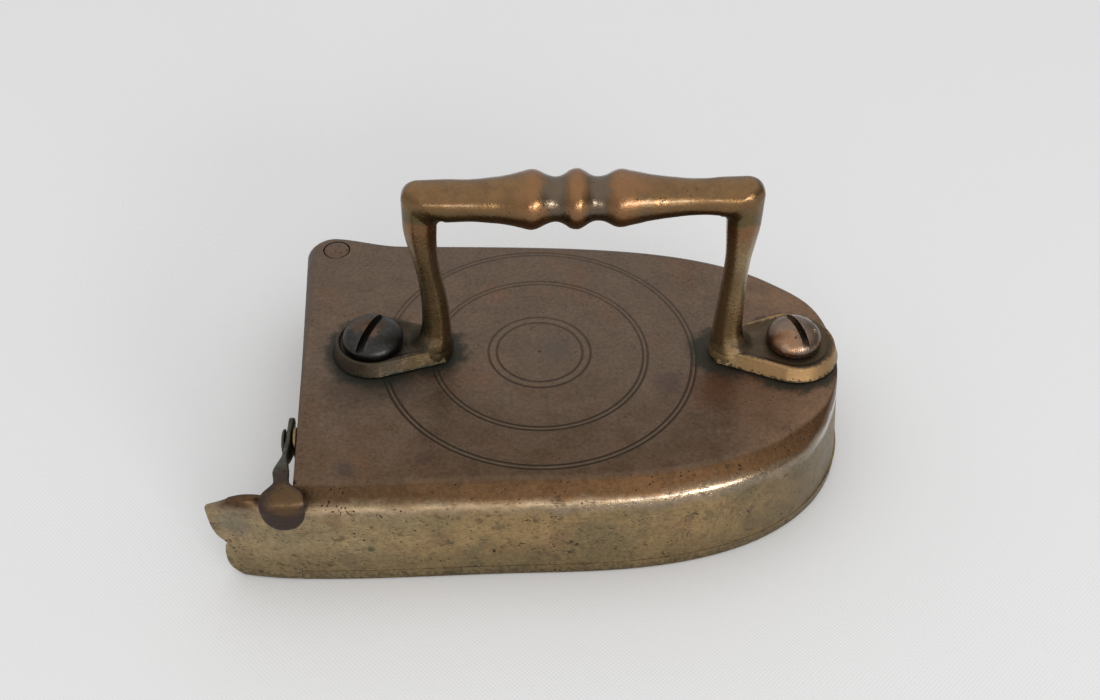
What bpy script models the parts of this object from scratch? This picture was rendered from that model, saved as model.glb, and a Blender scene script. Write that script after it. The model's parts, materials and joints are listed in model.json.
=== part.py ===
"""A brass slug iron with a hinged gate, built in metres with +Z up.

The origin lies on the flat underside of the sole, below the centre of the scribed rings.
+X runs to the nose, +Y to the far side, which carries the gate's hinge.
"""
import math

import bmesh
import bpy
from mathutils import Matrix, Vector

# Body outline, seen from above
SOLE_HALF_WIDTH = 0.0528
NOSE_REACH = 0.0873
NEAR_NOSE_POWER = 3.2
FAR_NOSE_POWER = 3.6
NEAR_SHOULDER_POWER = 2.0
FAR_SHOULDER_POWER = 2.4
NEAR_SHOULDER_BEHIND = 0.018
FAR_SHOULDER_BEHIND = 0.035
HEEL_REACH = 0.0673
HEEL_SKEW = math.radians(5.0)
FAR_FLARE = 0.0008
NEAR_FLARE = 0.0020
NEAR_FLARE_END_SHARE = 0.65
EAR_CORNER_RADIUS = 0.0090
EAR_INSET = 0.0007
EAR_LENGTH = 0.0200

# Body heights and walls
BODY_HEIGHT = 0.0320
SOLE_THICKNESS = 0.0035
SOLE_EDGE_ROUND = 0.0008
SOLE_EDGE_MIDDLE_SHARE = 0.3
PLATE_THICKNESS = 0.0034
WALL_THICKNESS = 0.0055
SEAM = 0.0003
BEVEL = 0.0055
EAR_BEVEL = 0.0027
NOSE_BEVEL = 0.0004
SIDE_LEAN = 0.0006
NOSE_LEAN = 0.0040
CREASE_ROUND = 0.0010
NOSE_FADE_START_SHARE = 0.62
NOSE_FADE_END_SHARE = 0.97

# Hinge of the gate
HINGE_IN_FROM_HEEL = 0.0098
HINGE_IN_FROM_SIDE = 0.0089
PIN_RADIUS = 0.0024
PIN_HEAD_RADIUS = 0.0038
PIN_HEAD_DEPTH = 0.0013
PIN_HEAD_PROUD = 0.0004
PIN_DOME_RADIUS_SHARE = 0.8
PIN_DOME_DROP_SHARE = 0.2
BARREL_RADIUS = 0.0060
RUNNING_GAP = 0.0004

# Gate
GATE_THICKNESS = 0.0040
GATE_SETBACK = 0.0003
POCKET_RELIEF = 0.0002
GATE_EDGE_ROUND = 0.0006
GATE_END_GAP = 0.0006
GATE_OUTER_START_SHARE = 0.3
GATE_INNER_START_SHARE = 0.6
POCKET_STEP = 0.0013

# Guide beak on the near wall, bent round the hinge
BEAK_REACH = 0.0232
BEAK_ROOT_THICKNESS = 0.0034
BEAK_TIP_THICKNESS = 0.0020
BEAK_ROOT = 0.0045
BEAK_ROOT_RAMP = 0.0012
BEAK_EDGE_ROUND = 0.0006
BEAK_SINK = 0.0004
BEAK_COLUMNS = 10
BEAK_CAP_START_SHARE = 0.78
BEAK_CREASE_DROP_SHARE = 0.99
BEAK_TAPER_START_SHARE = 0.30
BEAK_FADE_START_SHARE = 0.30
BEAK_FADE_END_SHARE = 0.70
BEAK_EDGE_SHARES = [
    (0.000, 0.500),
    (0.013, 0.670),
    (0.045, 0.760),
    (0.090, 0.825),
    (0.165, 0.860),
    (0.260, 0.862),
    (0.337, 0.850),
    (0.390, 0.828),
    (0.425, 0.862),
    (0.470, 0.921),
    (0.530, 0.956),
    (0.600, 0.980),
    (0.690, 0.993),
    (0.780, 1.000),
    (0.850, 0.985),
    (0.900, 0.945),
    (0.950, 0.870),
    (1.000, 0.740),
]
BEAK_TOP_DROP_SHARES = [
    (-0.30, 0.610),
    (0.00, 0.553),
    (0.25, 0.524),
    (0.45, 0.396),
    (0.58, 0.390),
    (0.70, 0.524),
    (0.87, 0.768),
    (1.00, 0.960),
]

# Handle
REAR_FOOT_REACH = 0.0178
FRONT_FOOT_REACH = 0.0190
REAR_POST_LEAN = 0.0028
FRONT_POST_LEAN = 0.0002
BAR_HEIGHT = 0.0520
BAR_RISE = 0.0020
BAR_END_RADIUS = 0.0051
BEAD_RADIUS = 0.0077
POST_HALF_WIDTH = 0.0044
POST_HALF_DEPTH = 0.0042
OUTER_CORNER_ROUND = 0.0040
INNER_CORNER_ROUND = 0.0022
POST_LEAN_START_SHARE = 0.30
POST_CHAMFER_SHARE = 0.55
BAR_END_SQUARENESS = 0.45
BAR_SQUARE_REACH_SHARE = 0.14
POST_WIDTH_SHARES = [
    (0.040, 1.000),
    (0.100, 0.930),
    (0.200, 0.900),
    (0.340, 0.830),
    (0.500, 0.750),
    (0.600, 0.710),
    (0.740, 0.740),
    (0.860, 0.860),
    (0.940, 0.950),
    (1.000, 1.000),
]
POST_DEPTH_SHARES = [
    (0.040, 1.300),
    (0.100, 1.200),
    (0.200, 1.000),
    (0.400, 0.850),
    (0.550, 0.800),
    (0.800, 0.900),
    (1.000, 1.000),
]
BAR_PROFILE_SHARES = [
    (0.000, 0.700),
    (0.080, 0.690),
    (0.120, 0.708),
    (0.160, 0.745),
    (0.200, 0.780),
    (0.240, 0.845),
    (0.275, 0.920),
    (0.300, 0.980),
    (0.315, 0.995),
    (0.330, 0.975),
    (0.347, 0.912),
    (0.365, 0.832),
    (0.383, 0.769),
    (0.400, 0.741),
    (0.418, 0.766),
    (0.436, 0.845),
    (0.454, 0.953),
    (0.474, 1.000),
    (0.490, 0.984),
    (0.508, 0.901),
    (0.525, 0.803),
    (0.543, 0.738),
    (0.561, 0.733),
    (0.579, 0.761),
    (0.597, 0.834),
    (0.615, 0.915),
    (0.633, 0.954),
    (0.650, 0.948),
    (0.668, 0.909),
    (0.704, 0.843),
    (0.740, 0.772),
    (0.793, 0.702),
    (0.830, 0.664),
    (0.880, 0.617),
    (0.930, 0.598),
    (0.960, 0.601),
    (1.000, 0.630),
]

# Feet and screws
FOOT_THICKNESS = 0.0042
FOOT_EDGE_ROUND = 0.0014
FOOT_SEAT_GAP = 0.0003
REAR_FOOT_RADIUS = 0.0115
FRONT_FOOT_RADIUS = 0.0129
REAR_SCREW_FROM_HEEL = 0.0211
FRONT_SCREW_FROM_NOSE = 0.0167
FOOT_NECK_HALF_WIDTH = 0.0060
FOOT_NECK_TURN = math.radians(4.0)
FOOT_SPREAD_LIMIT_SHARE = 0.95
FOOT_BACK_SHARE = 0.75
FOOT_CORNER_RUN_SHARE = 0.5
FOOT_CORNER_WIDTH_SHARE = 0.6
FOOT_EDGE_SHARES = [
    (0.30, 0.00),
    (0.00, 0.30),
    (0.00, -1.00),
    (0.35, -0.30),
    (1.00, 0.00),
]
FOOT_SWEEP_RADIUS = 0.0045
REAR_RECESS_DEPTH = 0.0010
FRONT_RECESS_DEPTH = 0.0004
FOOT_RECESS_MARGIN = 0.0008
REAR_HEAD_RADIUS = 0.0084
REAR_HEAD_HEIGHT = 0.0056
FRONT_HEAD_RADIUS = 0.0076
FRONT_HEAD_HEIGHT = 0.0066
SCREW_HEAD_EDGE = 0.0012
SCREW_SHANK_RADIUS = 0.0036
REAR_SLOT_WIDTH = 0.0022
REAR_SLOT_DEPTH = 0.0034
FRONT_SLOT_WIDTH = 0.0020
FRONT_SLOT_DEPTH = 0.0030
REAR_SLOT_TURN = math.radians(68.0)
FRONT_SLOT_TURN = math.radians(-70.0)
FIT_GAP = 0.0003

# Latch, laid along the gate's outer face
LATCH_PIVOT_IN_FROM_SIDE = 0.0253
LATCH_PIVOT_DROP = 0.0060
LATCH_RIVET_RADIUS = 0.0013
LATCH_RIVET_HEAD_RADIUS = 0.0039
LATCH_RIVET_HEAD_HEIGHT = 0.0010
LATCH_RIVET_END = 0.0028
LATCH_RIVET_DOME_SHARES = [
    (0.00, 0.00),
    (0.60, 0.15),
    (0.92, 0.50),
    (1.00, 1.00),
]
LATCH_WASHER_RADIUS = 0.0042
LATCH_WASHER_NECK_RADIUS = 0.0023
LATCH_WASHER_STANDOFF = 0.0004
LATCH_WASHER_THICKNESS = 0.0008
LATCH_THICKNESS = 0.0018
LATCH_EYE_RADIUS = 0.0042
LATCH_TAIL = 0.0085
LATCH_NECK_HALF_WIDTH = 0.0021
LATCH_PAD_HALF_WIDTH = 0.0057
LATCH_PAD_THICKNESS = 0.0018
LATCH_PAD_DROP = 0.0088
LATCH_OVER_WALL_GAP = 0.0009
LATCH_BEND_RADIUS = 0.0024
LATCH_ARM_HALF_HEIGHT = 0.0022
LATCH_PAD_SHIFT = 0.0021
LATCH_CLIMB_START_SHARE = 0.66
LATCH_CLIMB_TURN_SHARE = 0.8
LATCH_CLIMB_WIDTH_SHARE = 0.75
LATCH_TAIL_RISE_SHARE = 0.2
LATCH_TIP_THIN_SHARE = 0.8
LATCH_WIDEN_SHARES = (0.60, 0.55, 0.25)
LATCH_TAIL_SHARES = [
    (1.00, 0.45),
    (0.75, 0.80),
]
LATCH_EYE_SHARES = [
    (0.70, 0.00, 0.00, 0.72),
    (0.00, 0.00, 0.00, 0.95),
    (-0.70, 0.35, 0.55, 0.75),
]
LATCH_CLIMB_SHARES = [
    (0.62, 0.62, 1.00, 0.00, 0.00),
    (0.85, 0.90, 0.70, 0.65, 0.88),
    (1.00, 1.00, 0.00, 1.00, 1.00),
]
LATCH_BEND_SHARES = [
    (0.000, 0.55),
    (0.333, 0.74),
    (0.667, 0.87),
    (1.000, 0.96),
]
LATCH_DROP_SHARES = [
    (0.25, 1.00),
    (0.50, 0.97),
    (0.75, 0.82),
    (0.92, 0.52),
    (1.00, 0.24),
]
LATCH_SECTION_SHARES = [
    (1.00, -0.55),
    (1.00, 0.55),
    (0.72, 1.00),
    (-0.72, 1.00),
    (-1.00, 0.55),
    (-1.00, -0.55),
    (-0.72, -1.00),
    (0.72, -1.00),
]

# Slug and its rests
SLUG_HEIGHT = 0.0165
SLUG_SIDE_GAP = 0.0030
SLUG_PLAY = 0.0026
SLUG_EDGE_ROUND = 0.0015
SLUG_HOOK_RADIUS = 0.0055
SLUG_HOOK_INSET = 0.0130
REST_RIB_HEIGHT = 0.0015
REST_RIB_HALF_WIDTH = 0.0015
REST_RIB_SPACING = 0.0240
REST_RIB_FROM_HEEL = 0.0273
REST_RIB_FROM_NOSE = 0.0393

# Cutters and smoothness
OVERRUN = 0.0100
SIDE_STATIONS = 8
NOSE_STATIONS = 22
CORNER_STATIONS = 7
FOOT_STATIONS = 25
SWEEP_STATIONS = 5
POST_STATIONS = 13
BAR_CORNER_STATIONS = 6
BAR_STATIONS = 52
DOME_STATIONS = 8
ROUND_SEGMENTS = 32
SMOOTH_ANGLE = math.radians(32.0)
MERGE_SHARE = 0.00001
CORNER_RUN_SHARE = 0.4

# Places worked out from the sizes above
PLATE_UNDERSIDE = BODY_HEIGHT - PLATE_THICKNESS
SHELL_SEAT = SOLE_THICKNESS + SEAM
HINGE_Y = SOLE_HALF_WIDTH + FAR_FLARE - HINGE_IN_FROM_SIDE
HINGE_X = -HEEL_REACH - HINGE_Y * math.tan(HEEL_SKEW) + HINGE_IN_FROM_HEEL
HINGE = Vector((HINGE_X, HINGE_Y, 0.0))
NEAR_WALL_Y = -(SOLE_HALF_WIDTH + NEAR_FLARE)
LATCH_PIVOT_Y = NEAR_WALL_Y + LATCH_PIVOT_IN_FROM_SIDE
REAR_SCREW_X = REAR_SCREW_FROM_HEEL - HEEL_REACH
FRONT_SCREW_X = NOSE_REACH - FRONT_SCREW_FROM_NOSE
REAR_POST_X = REAR_SCREW_X + REAR_FOOT_REACH
FRONT_POST_X = FRONT_SCREW_X - FRONT_FOOT_REACH
BEAK_OUTER_RADIUS = HINGE_Y - NEAR_WALL_Y - BEAK_SINK
POCKET_RADIUS = HINGE_Y - NEAR_WALL_Y - WALL_THICKNESS + POCKET_STEP
GATE_END_RADIUS = POCKET_RADIUS - GATE_END_GAP


def heel_x(y):
    """X of the skewed heel line at a place across the body."""
    return -HEEL_REACH - y * math.tan(HEEL_SKEW)


def smooth_step(low, high, value):
    """Eased 0 to 1 ramp of value between low and high."""
    share = min(1.0, max(0.0, (value - low) / (high - low)))
    return share * share * (3.0 - 2.0 * share)


def blend(first, second, share):
    """Value that lies share of the way from first to second."""
    return first + (second - first) * share


def smooth_table(table, at):
    """Reads a table of (place, value) pairs with a smooth curve through them."""
    last = len(table) - 1
    for index in range(last):
        low, high = table[index], table[index + 1]
        if at <= high[0] or index == last - 1:
            before = table[max(index - 1, 0)]
            after = table[min(index + 2, last)]
            span = high[0] - low[0]
            share = min(1.0, max(0.0, (at - low[0]) / span))
            slope_low = span * (high[1] - before[1]) / (high[0] - before[0])
            slope_high = span * (after[1] - low[1]) / (after[0] - low[0])
            square, cube = share * share, share * share * share
            return ((2 * cube - 3 * square + 1) * low[1] + (cube - 2 * square + share) * slope_low
                    + (3 * square - 2 * cube) * high[1] + (cube - square) * slope_high)
    return table[last][1]


def make_material(name, colour, roughness, metallic):
    """Principled material with one colour."""
    material = bpy.data.materials.new(name)
    material.use_nodes = True
    shader = material.node_tree.nodes["Principled BSDF"]
    shader.inputs["Base Color"].default_value = (*colour, 1.0)
    shader.inputs["Roughness"].default_value = roughness
    shader.inputs["Metallic"].default_value = metallic
    material.diffuse_color = (*colour, 1.0)
    return material


def link_object(name, mesh, material=None):
    """Object of a mesh, smooth where its faces meet gently."""
    made = bpy.data.objects.new(name, mesh)
    bpy.context.scene.collection.objects.link(made)
    if material:
        mesh.materials.append(material)
    mesh.shade_smooth()
    mesh.set_sharp_from_angle(angle=SMOOTH_ANGLE)
    return made


def stacked_solid(name, loops, material=None):
    """Closed solid through a stack of closed loops that have as many points each."""
    shape = bmesh.new()
    rings = [[shape.verts.new(point) for point in loop] for loop in loops]
    count = len(rings[0])
    for low, high in zip(rings, rings[1:]):
        for index in range(count):
            after = (index + 1) % count
            shape.faces.new((low[index], low[after], high[after], high[index]))
    shape.faces.new(rings[0][::-1])
    shape.faces.new(rings[-1])
    bmesh.ops.recalc_face_normals(shape, faces=shape.faces)
    mesh = bpy.data.meshes.new(name)
    shape.to_mesh(mesh)
    shape.free()
    return link_object(name, mesh, material)


def turned_solid(name, profile, material=None, segments=ROUND_SEGMENTS):
    """Solid turned about Z from (radius, height) points that start and end on the axis."""
    shape = bmesh.new()
    verts = [shape.verts.new((radius, 0.0, height)) for radius, height in profile]
    edges = [shape.edges.new(pair) for pair in zip(verts, verts[1:])]
    bmesh.ops.spin(shape, geom=verts + edges, cent=Vector(), axis=Vector((0.0, 0.0, 1.0)),
                   angle=math.tau, steps=segments, use_merge=True)
    size = max(max(abs(value) for value in point) for point in profile)
    bmesh.ops.remove_doubles(shape, verts=shape.verts, dist=size * MERGE_SHARE)
    bmesh.ops.recalc_face_normals(shape, faces=shape.faces)
    mesh = bpy.data.meshes.new(name)
    shape.to_mesh(mesh)
    shape.free()
    return link_object(name, mesh, material)


def flat_loop(points, height):
    """Loop of plan points at one height."""
    return [Vector((point[0], point[1], height)) for point in points]


def prism(name, points, low, high, material=None):
    """Upright solid over a plan outline."""
    return stacked_solid(name, [flat_loop(points, low), flat_loop(points, high)], material)


def circle_points(centre, radius, segments=ROUND_SEGMENTS, start=0.0, sweep=math.tau):
    """Plan points round a centre, the last left out where the circle closes."""
    steps = segments if sweep >= math.tau else segments - 1
    turns = [start + sweep * index / steps for index in range(segments)]
    return [(centre[0] + radius * math.cos(turn), centre[1] + radius * math.sin(turn)) for turn in turns]


def combine(target, tool, operation):
    """Adds a Boolean of another object to the target and hides that object."""
    tool.hide_render = True
    tool.display_type = "WIRE"
    modifier = target.modifiers.new(tool.name, "BOOLEAN")
    modifier.operation = operation
    modifier.object = tool
    modifier.solver = "EXACT"


def cut(target, tool):
    """Cuts another object out of the target."""
    combine(target, tool, "DIFFERENCE")


def join(target, tool):
    """Unites another object with the target."""
    combine(target, tool, "UNION")


def even_triangles(target):
    """Splits the faces that the cuts leave into well shaped triangles."""
    modifier = target.modifiers.new("even_triangles", "TRIANGULATE")
    modifier.quad_method = "SHORTEST_DIAGONAL"
    modifier.ngon_method = "BEAUTY"
    return target


def place(made, matrix):
    """Puts an object's mesh through a matrix, so that its origin stays where it is."""
    made.data.transform(matrix)
    return made


def set_origin(made, origin):
    """Moves an object's origin to a point and leaves its mesh where it is."""
    made.data.transform(Matrix.Translation(-origin))
    made.location = origin


def nose_curve(side, behind, nose_power, shoulder_power):
    """Plan points from one shoulder to the nose, the fuller the higher the two powers."""
    points = []
    for index in range(NOSE_STATIONS + 1):
        turn = 0.5 * math.pi * index / NOSE_STATIONS
        x = -behind + (NOSE_REACH + behind) * math.sin(turn) ** (2.0 / nose_power)
        across = max(0.0, math.cos(turn)) if index < NOSE_STATIONS else 0.0
        points.append((x, side * SOLE_HALF_WIDTH * across ** (2.0 / shoulder_power)))
    return points


def outline_stations():
    """Stations round the body at the sole: (point, outward direction, nose share, ear share)."""
    near = []
    for index in range(SIDE_STATIONS):
        share = index / SIDE_STATIONS
        y = -(SOLE_HALF_WIDTH + NEAR_FLARE * smooth_step(1.0, NEAR_FLARE_END_SHARE, share))
        near.append((blend(heel_x(y), -NEAR_SHOULDER_BEHIND, share), y))
    near += nose_curve(-1.0, NEAR_SHOULDER_BEHIND, NEAR_NOSE_POWER, NEAR_SHOULDER_POWER)
    far_y = SOLE_HALF_WIDTH + FAR_FLARE
    corner = (heel_x(far_y) + EAR_CORNER_RADIUS + EAR_INSET, far_y - EAR_CORNER_RADIUS)
    far = nose_curve(1.0, FAR_SHOULDER_BEHIND, FAR_NOSE_POWER, FAR_SHOULDER_POWER)[:-1][::-1]
    for index in range(1, SIDE_STATIONS + 1):
        share = index / SIDE_STATIONS
        x = blend(-FAR_SHOULDER_BEHIND, corner[0], share)
        far.append((x, SOLE_HALF_WIDTH + FAR_FLARE * share * share))
    far += circle_points(corner, EAR_CORNER_RADIUS, CORNER_STATIONS, 0.5 * math.pi, 0.5 * math.pi)[1:]
    points = near + far
    stations = []
    for index, point in enumerate(points):
        before = points[max(index - 1, 0)]
        after = points[min(index + 1, len(points) - 1)]
        along = Vector((after[0] - before[0], after[1] - before[1])).normalized()
        outward = Vector((along.y, -along.x))
        nose = smooth_step(NOSE_FADE_START_SHARE, NOSE_FADE_END_SHARE, outward.x)
        ear = smooth_step(corner[0] + EAR_LENGTH, corner[0], point[0]) if point[1] > 0.0 else 0.0
        if index == 0:
            outward = Vector((0.0, -1.0))
        if index == len(points) - 1:
            outward = Vector((-math.cos(HEEL_SKEW), -math.sin(HEEL_SKEW)))
        stations.append((Vector(point), outward, nose, ear))
    return stations


def heel_clamp(point):
    """Moves a plan point that passes the heel line back onto it."""
    return Vector((max(point.x, heel_x(point.y)), point.y))


def body_lines(station):
    """Sole point, crease point and top edge point of one station, and the local lean of the wall."""
    point, outward, nose, ear = station
    bevel = blend(blend(BEVEL, EAR_BEVEL, ear), NOSE_BEVEL, nose)
    lean = blend(SIDE_LEAN, NOSE_LEAN, nose)
    top = heel_clamp(point - outward * (bevel + lean))
    crease = heel_clamp(point - outward * lean)
    return (Vector((*point, 0.0)), Vector((*crease, BODY_HEIGHT - bevel)),
            Vector((*top, BODY_HEIGHT)), lean)


def rounded_corner(before, corner, after, size):
    """Three points that round a corner between two straight runs."""
    first = (before - corner)
    second = (after - corner)
    reach_first = min(size, first.length * CORNER_RUN_SHARE)
    reach_second = min(size, second.length * CORNER_RUN_SHARE)
    start = corner + first.normalized() * reach_first
    end = corner + second.normalized() * reach_second
    middle = corner * 0.5 + (start + end) * 0.25
    return [start, middle, end]


def body_loops(stations):
    """Loops of the shell's outside, from its seat on the sole to the top."""
    columns = []
    for station in stations:
        sole, crease, top, lean = body_lines(station)
        outward = station[1]
        inner = top - Vector((*outward, 0.0)) * BEVEL
        seat = sole.lerp(crease, SHELL_SEAT / crease.z)
        column = [seat]
        column += rounded_corner(seat, crease, top, CREASE_ROUND)
        column += rounded_corner(crease, top, inner, CREASE_ROUND)
        columns.append(column)
    return [list(loop) for loop in zip(*columns)]


def chamber_loop(stations, height, extra):
    """Loop of the hollow inside the walls at one height, run out past the heel."""
    points = []
    for station in stations:
        lean = body_lines(station)[3] * height / BODY_HEIGHT
        points.append(station[0] - station[1] * (WALL_THICKNESS + lean + extra))
    inside = [point for point in points if point.x > heel_x(point.y)]
    kept = inside[1:-CORNER_STATIONS]
    out = -HEEL_REACH - OVERRUN - EAR_LENGTH
    loop = [(out, kept[0].y)] + [(point.x, point.y) for point in kept] + [(out, kept[-1].y)]
    return flat_loop(loop, height)


def gate_line(offset):
    """Two plan points on the gate's outer face, moved inwards by offset, far end first."""
    far = Vector((HINGE_X - BARREL_RADIUS, HINGE_Y))
    near_y = HINGE_Y - GATE_END_RADIUS
    near = Vector((heel_x(near_y) + GATE_SETBACK, near_y))
    along = (near - far).normalized()
    inward = Vector((-along.y, along.x))
    return far + inward * offset, near + inward * offset, along


def line_at_radius(start, along, radius):
    """Point on a plan line at a distance from the hinge's axis."""
    to_start = start - HINGE.xy
    middle = to_start.dot(along)
    reach = -middle + math.sqrt(middle * middle - to_start.length_squared + radius * radius)
    return start + along * reach


def build_shell(stations, brass):
    """Cast cover: flat top, bevelled edge and side walls, open at the heel and below."""
    shell = stacked_solid("shell", body_loops(stations), brass)
    low = chamber_loop(stations, SHELL_SEAT - OVERRUN, 0.0)
    high = chamber_loop(stations, PLATE_UNDERSIDE, 0.0)
    cut(shell, stacked_solid("chamber_cutter", [low, high]))
    cut(shell, pocket_cutter())
    hole = prism("hinge_hole_cutter", circle_points(HINGE, PIN_RADIUS + FIT_GAP), PLATE_UNDERSIDE - OVERRUN,
                 BODY_HEIGHT + OVERRUN)
    cut(shell, hole)
    head_floor = BODY_HEIGHT + PIN_HEAD_PROUD - PIN_HEAD_DEPTH - FIT_GAP
    sink = prism("hinge_head_cutter", circle_points(HINGE, PIN_HEAD_RADIUS + FIT_GAP), head_floor,
                 BODY_HEIGHT + OVERRUN)
    cut(shell, sink)
    for name, x in (("rear", REAR_SCREW_X), ("front", FRONT_SCREW_X)):
        tapped = circle_points((x, 0.0), SCREW_SHANK_RADIUS + FIT_GAP)
        cut(shell, prism(f"{name}_tapping_cutter", tapped, PLATE_UNDERSIDE - OVERRUN, BODY_HEIGHT + OVERRUN))
    join(shell, build_beak())
    return even_triangles(shell)


def pocket_cutter():
    """Space for the gate between the plates, whose step behind the gate is its stop."""
    start, _, along = gate_line(GATE_THICKNESS + RUNNING_GAP)
    corner = line_at_radius(start, along, POCKET_RADIUS)
    reach = BARREL_RADIUS + RUNNING_GAP
    out = -HEEL_REACH - OVERRUN - EAR_LENGTH
    first = math.atan2(corner.y - HINGE_Y, corner.x - HINGE_X)
    last = math.asin((out - HINGE_X) / POCKET_RADIUS) - 0.5 * math.pi
    near = circle_points(HINGE, POCKET_RADIUS, ROUND_SEGMENTS // 2, first, last - first)
    back = start + along * reach
    points = near + [
        (out, HINGE_Y),
        (out, SOLE_HALF_WIDTH + OVERRUN),
        (HINGE_X + reach, SOLE_HALF_WIDTH + OVERRUN),
        (HINGE_X + reach, back.y),
        (back.x, back.y),
    ]
    return prism("pocket_cutter", points, SHELL_SEAT - OVERRUN, PLATE_UNDERSIDE + POCKET_RELIEF)


def beak_point(x, radius, height):
    """Point of the beak on an arc about the hinge, whose turn comes from a place along X."""
    turn = math.asin((x - HINGE_X) / BEAK_OUTER_RADIUS)
    return Vector((HINGE_X + radius * math.sin(turn), HINGE_Y - radius * math.cos(turn), height))


def beak_height(share, reach):
    """Height of one row of the beak, whose top falls towards the tip."""
    top = BODY_HEIGHT - BEVEL * smooth_table(BEAK_TOP_DROP_SHARES, reach)
    cap_start = BODY_HEIGHT * BEAK_CAP_START_SHARE
    above = max(0.0, share - BEAK_CAP_START_SHARE) / (1.0 - BEAK_CAP_START_SHARE)
    height = min(BODY_HEIGHT * share, cap_start) + above * (top - cap_start)
    return max(SEAM + FIT_GAP, height)


def build_beak():
    """Near wall's end, a leaf bent round the hinge with a cusped outline."""
    ramp_low = (SHELL_SEAT + FIT_GAP) / BODY_HEIGHT
    ramp_high = ramp_low + BEAK_ROOT_RAMP / BODY_HEIGHT
    shares = [0.0, ramp_low * 0.25, ramp_low * 0.55, ramp_low, ramp_high]
    shares += [share for share, _ in BEAK_EDGE_SHARES if share > ramp_high]
    heel = heel_x(NEAR_WALL_Y)
    clear_root = heel_x(HINGE_Y - BEAK_OUTER_RADIUS + BEAK_ROOT_THICKNESS) - FIT_GAP * 2.0
    loops = []
    for share in shares:
        edge = heel - BEAK_REACH * smooth_table(BEAK_EDGE_SHARES, share)
        root = heel + BEAK_ROOT if share > ramp_low else clear_root
        places = [edge] + [blend(edge + BEAK_EDGE_ROUND, root, column / (BEAK_COLUMNS - 1))
                           for column in range(BEAK_COLUMNS)]
        outer, inner = [], []
        for index, x in enumerate(places):
            reach = (heel - x) / BEAK_REACH
            height = beak_height(share, reach)
            faded = smooth_step(BEAK_FADE_START_SHARE, BEAK_FADE_END_SHARE, reach)
            crease = BODY_HEIGHT - BEVEL * blend(BEAK_CREASE_DROP_SHARE, 0.0, faded)
            bevel = max(0.0, height - crease)
            lean = SIDE_LEAN * min(1.0, height / (BODY_HEIGHT - BEVEL))
            along = smooth_step(BEAK_TAPER_START_SHARE, 1.0, reach)
            thickness = blend(BEAK_ROOT_THICKNESS, BEAK_TIP_THICKNESS, along)
            rounding = BEAK_EDGE_ROUND if index == 0 else 0.0
            outer.append(beak_point(x, BEAK_OUTER_RADIUS - lean - bevel - rounding, height))
            inner.append(beak_point(x, BEAK_OUTER_RADIUS - thickness + rounding, height))
        loops.append(outer + inner[::-1])
    return stacked_solid("beak_addition", loops)


def build_sole(stations, brass):
    """Flat sole with two ribs that carry the slug, and the pin's lower hole."""
    outline = [station[0] for station in stations]
    lower = [heel_clamp(point - station[1] * SOLE_EDGE_ROUND) for point, station in zip(outline, stations)]
    part_round = SOLE_EDGE_ROUND * SOLE_EDGE_MIDDLE_SHARE
    middle = [heel_clamp(point - station[1] * part_round) for point, station in zip(outline, stations)]
    loops = [flat_loop(lower, 0.0), flat_loop(middle, part_round), flat_loop(outline, SOLE_EDGE_ROUND),
             flat_loop(outline, SOLE_THICKNESS)]
    sole = stacked_solid("sole_plate", loops, brass)
    rear, front = REST_RIB_FROM_HEEL - HEEL_REACH, NOSE_REACH - REST_RIB_FROM_NOSE
    for side in (-1.0, 1.0):
        y = side * REST_RIB_SPACING
        points = [(rear, y - REST_RIB_HALF_WIDTH), (front, y - REST_RIB_HALF_WIDTH),
                  (front, y + REST_RIB_HALF_WIDTH), (rear, y + REST_RIB_HALF_WIDTH)]
        rib = prism("near_rib_addition" if side < 0 else "far_rib_addition", points,
                    SOLE_THICKNESS * 0.5, SOLE_THICKNESS + REST_RIB_HEIGHT)
        join(sole, rib)
    cut(sole, prism("sole_pin_cutter", circle_points(HINGE, PIN_RADIUS + FIT_GAP), -OVERRUN,
                    SOLE_THICKNESS + OVERRUN))
    return even_triangles(sole)


def build_pin(brass):
    """Rivet that the gate turns on, its head sunk in the ear of the top."""
    top = BODY_HEIGHT + PIN_HEAD_PROUD
    neck = top - PIN_HEAD_DEPTH
    profile = [(0.0, SEAM), (PIN_RADIUS, SEAM), (PIN_RADIUS, neck), (PIN_HEAD_RADIUS, neck),
               (PIN_HEAD_RADIUS, top - PIN_HEAD_PROUD),
               (PIN_HEAD_RADIUS * PIN_DOME_RADIUS_SHARE, top - PIN_HEAD_PROUD * PIN_DOME_DROP_SHARE),
               (0.0, top)]
    pin = turned_solid("hinge_pin", profile, brass)
    pin.location = HINGE
    return pin


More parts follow.
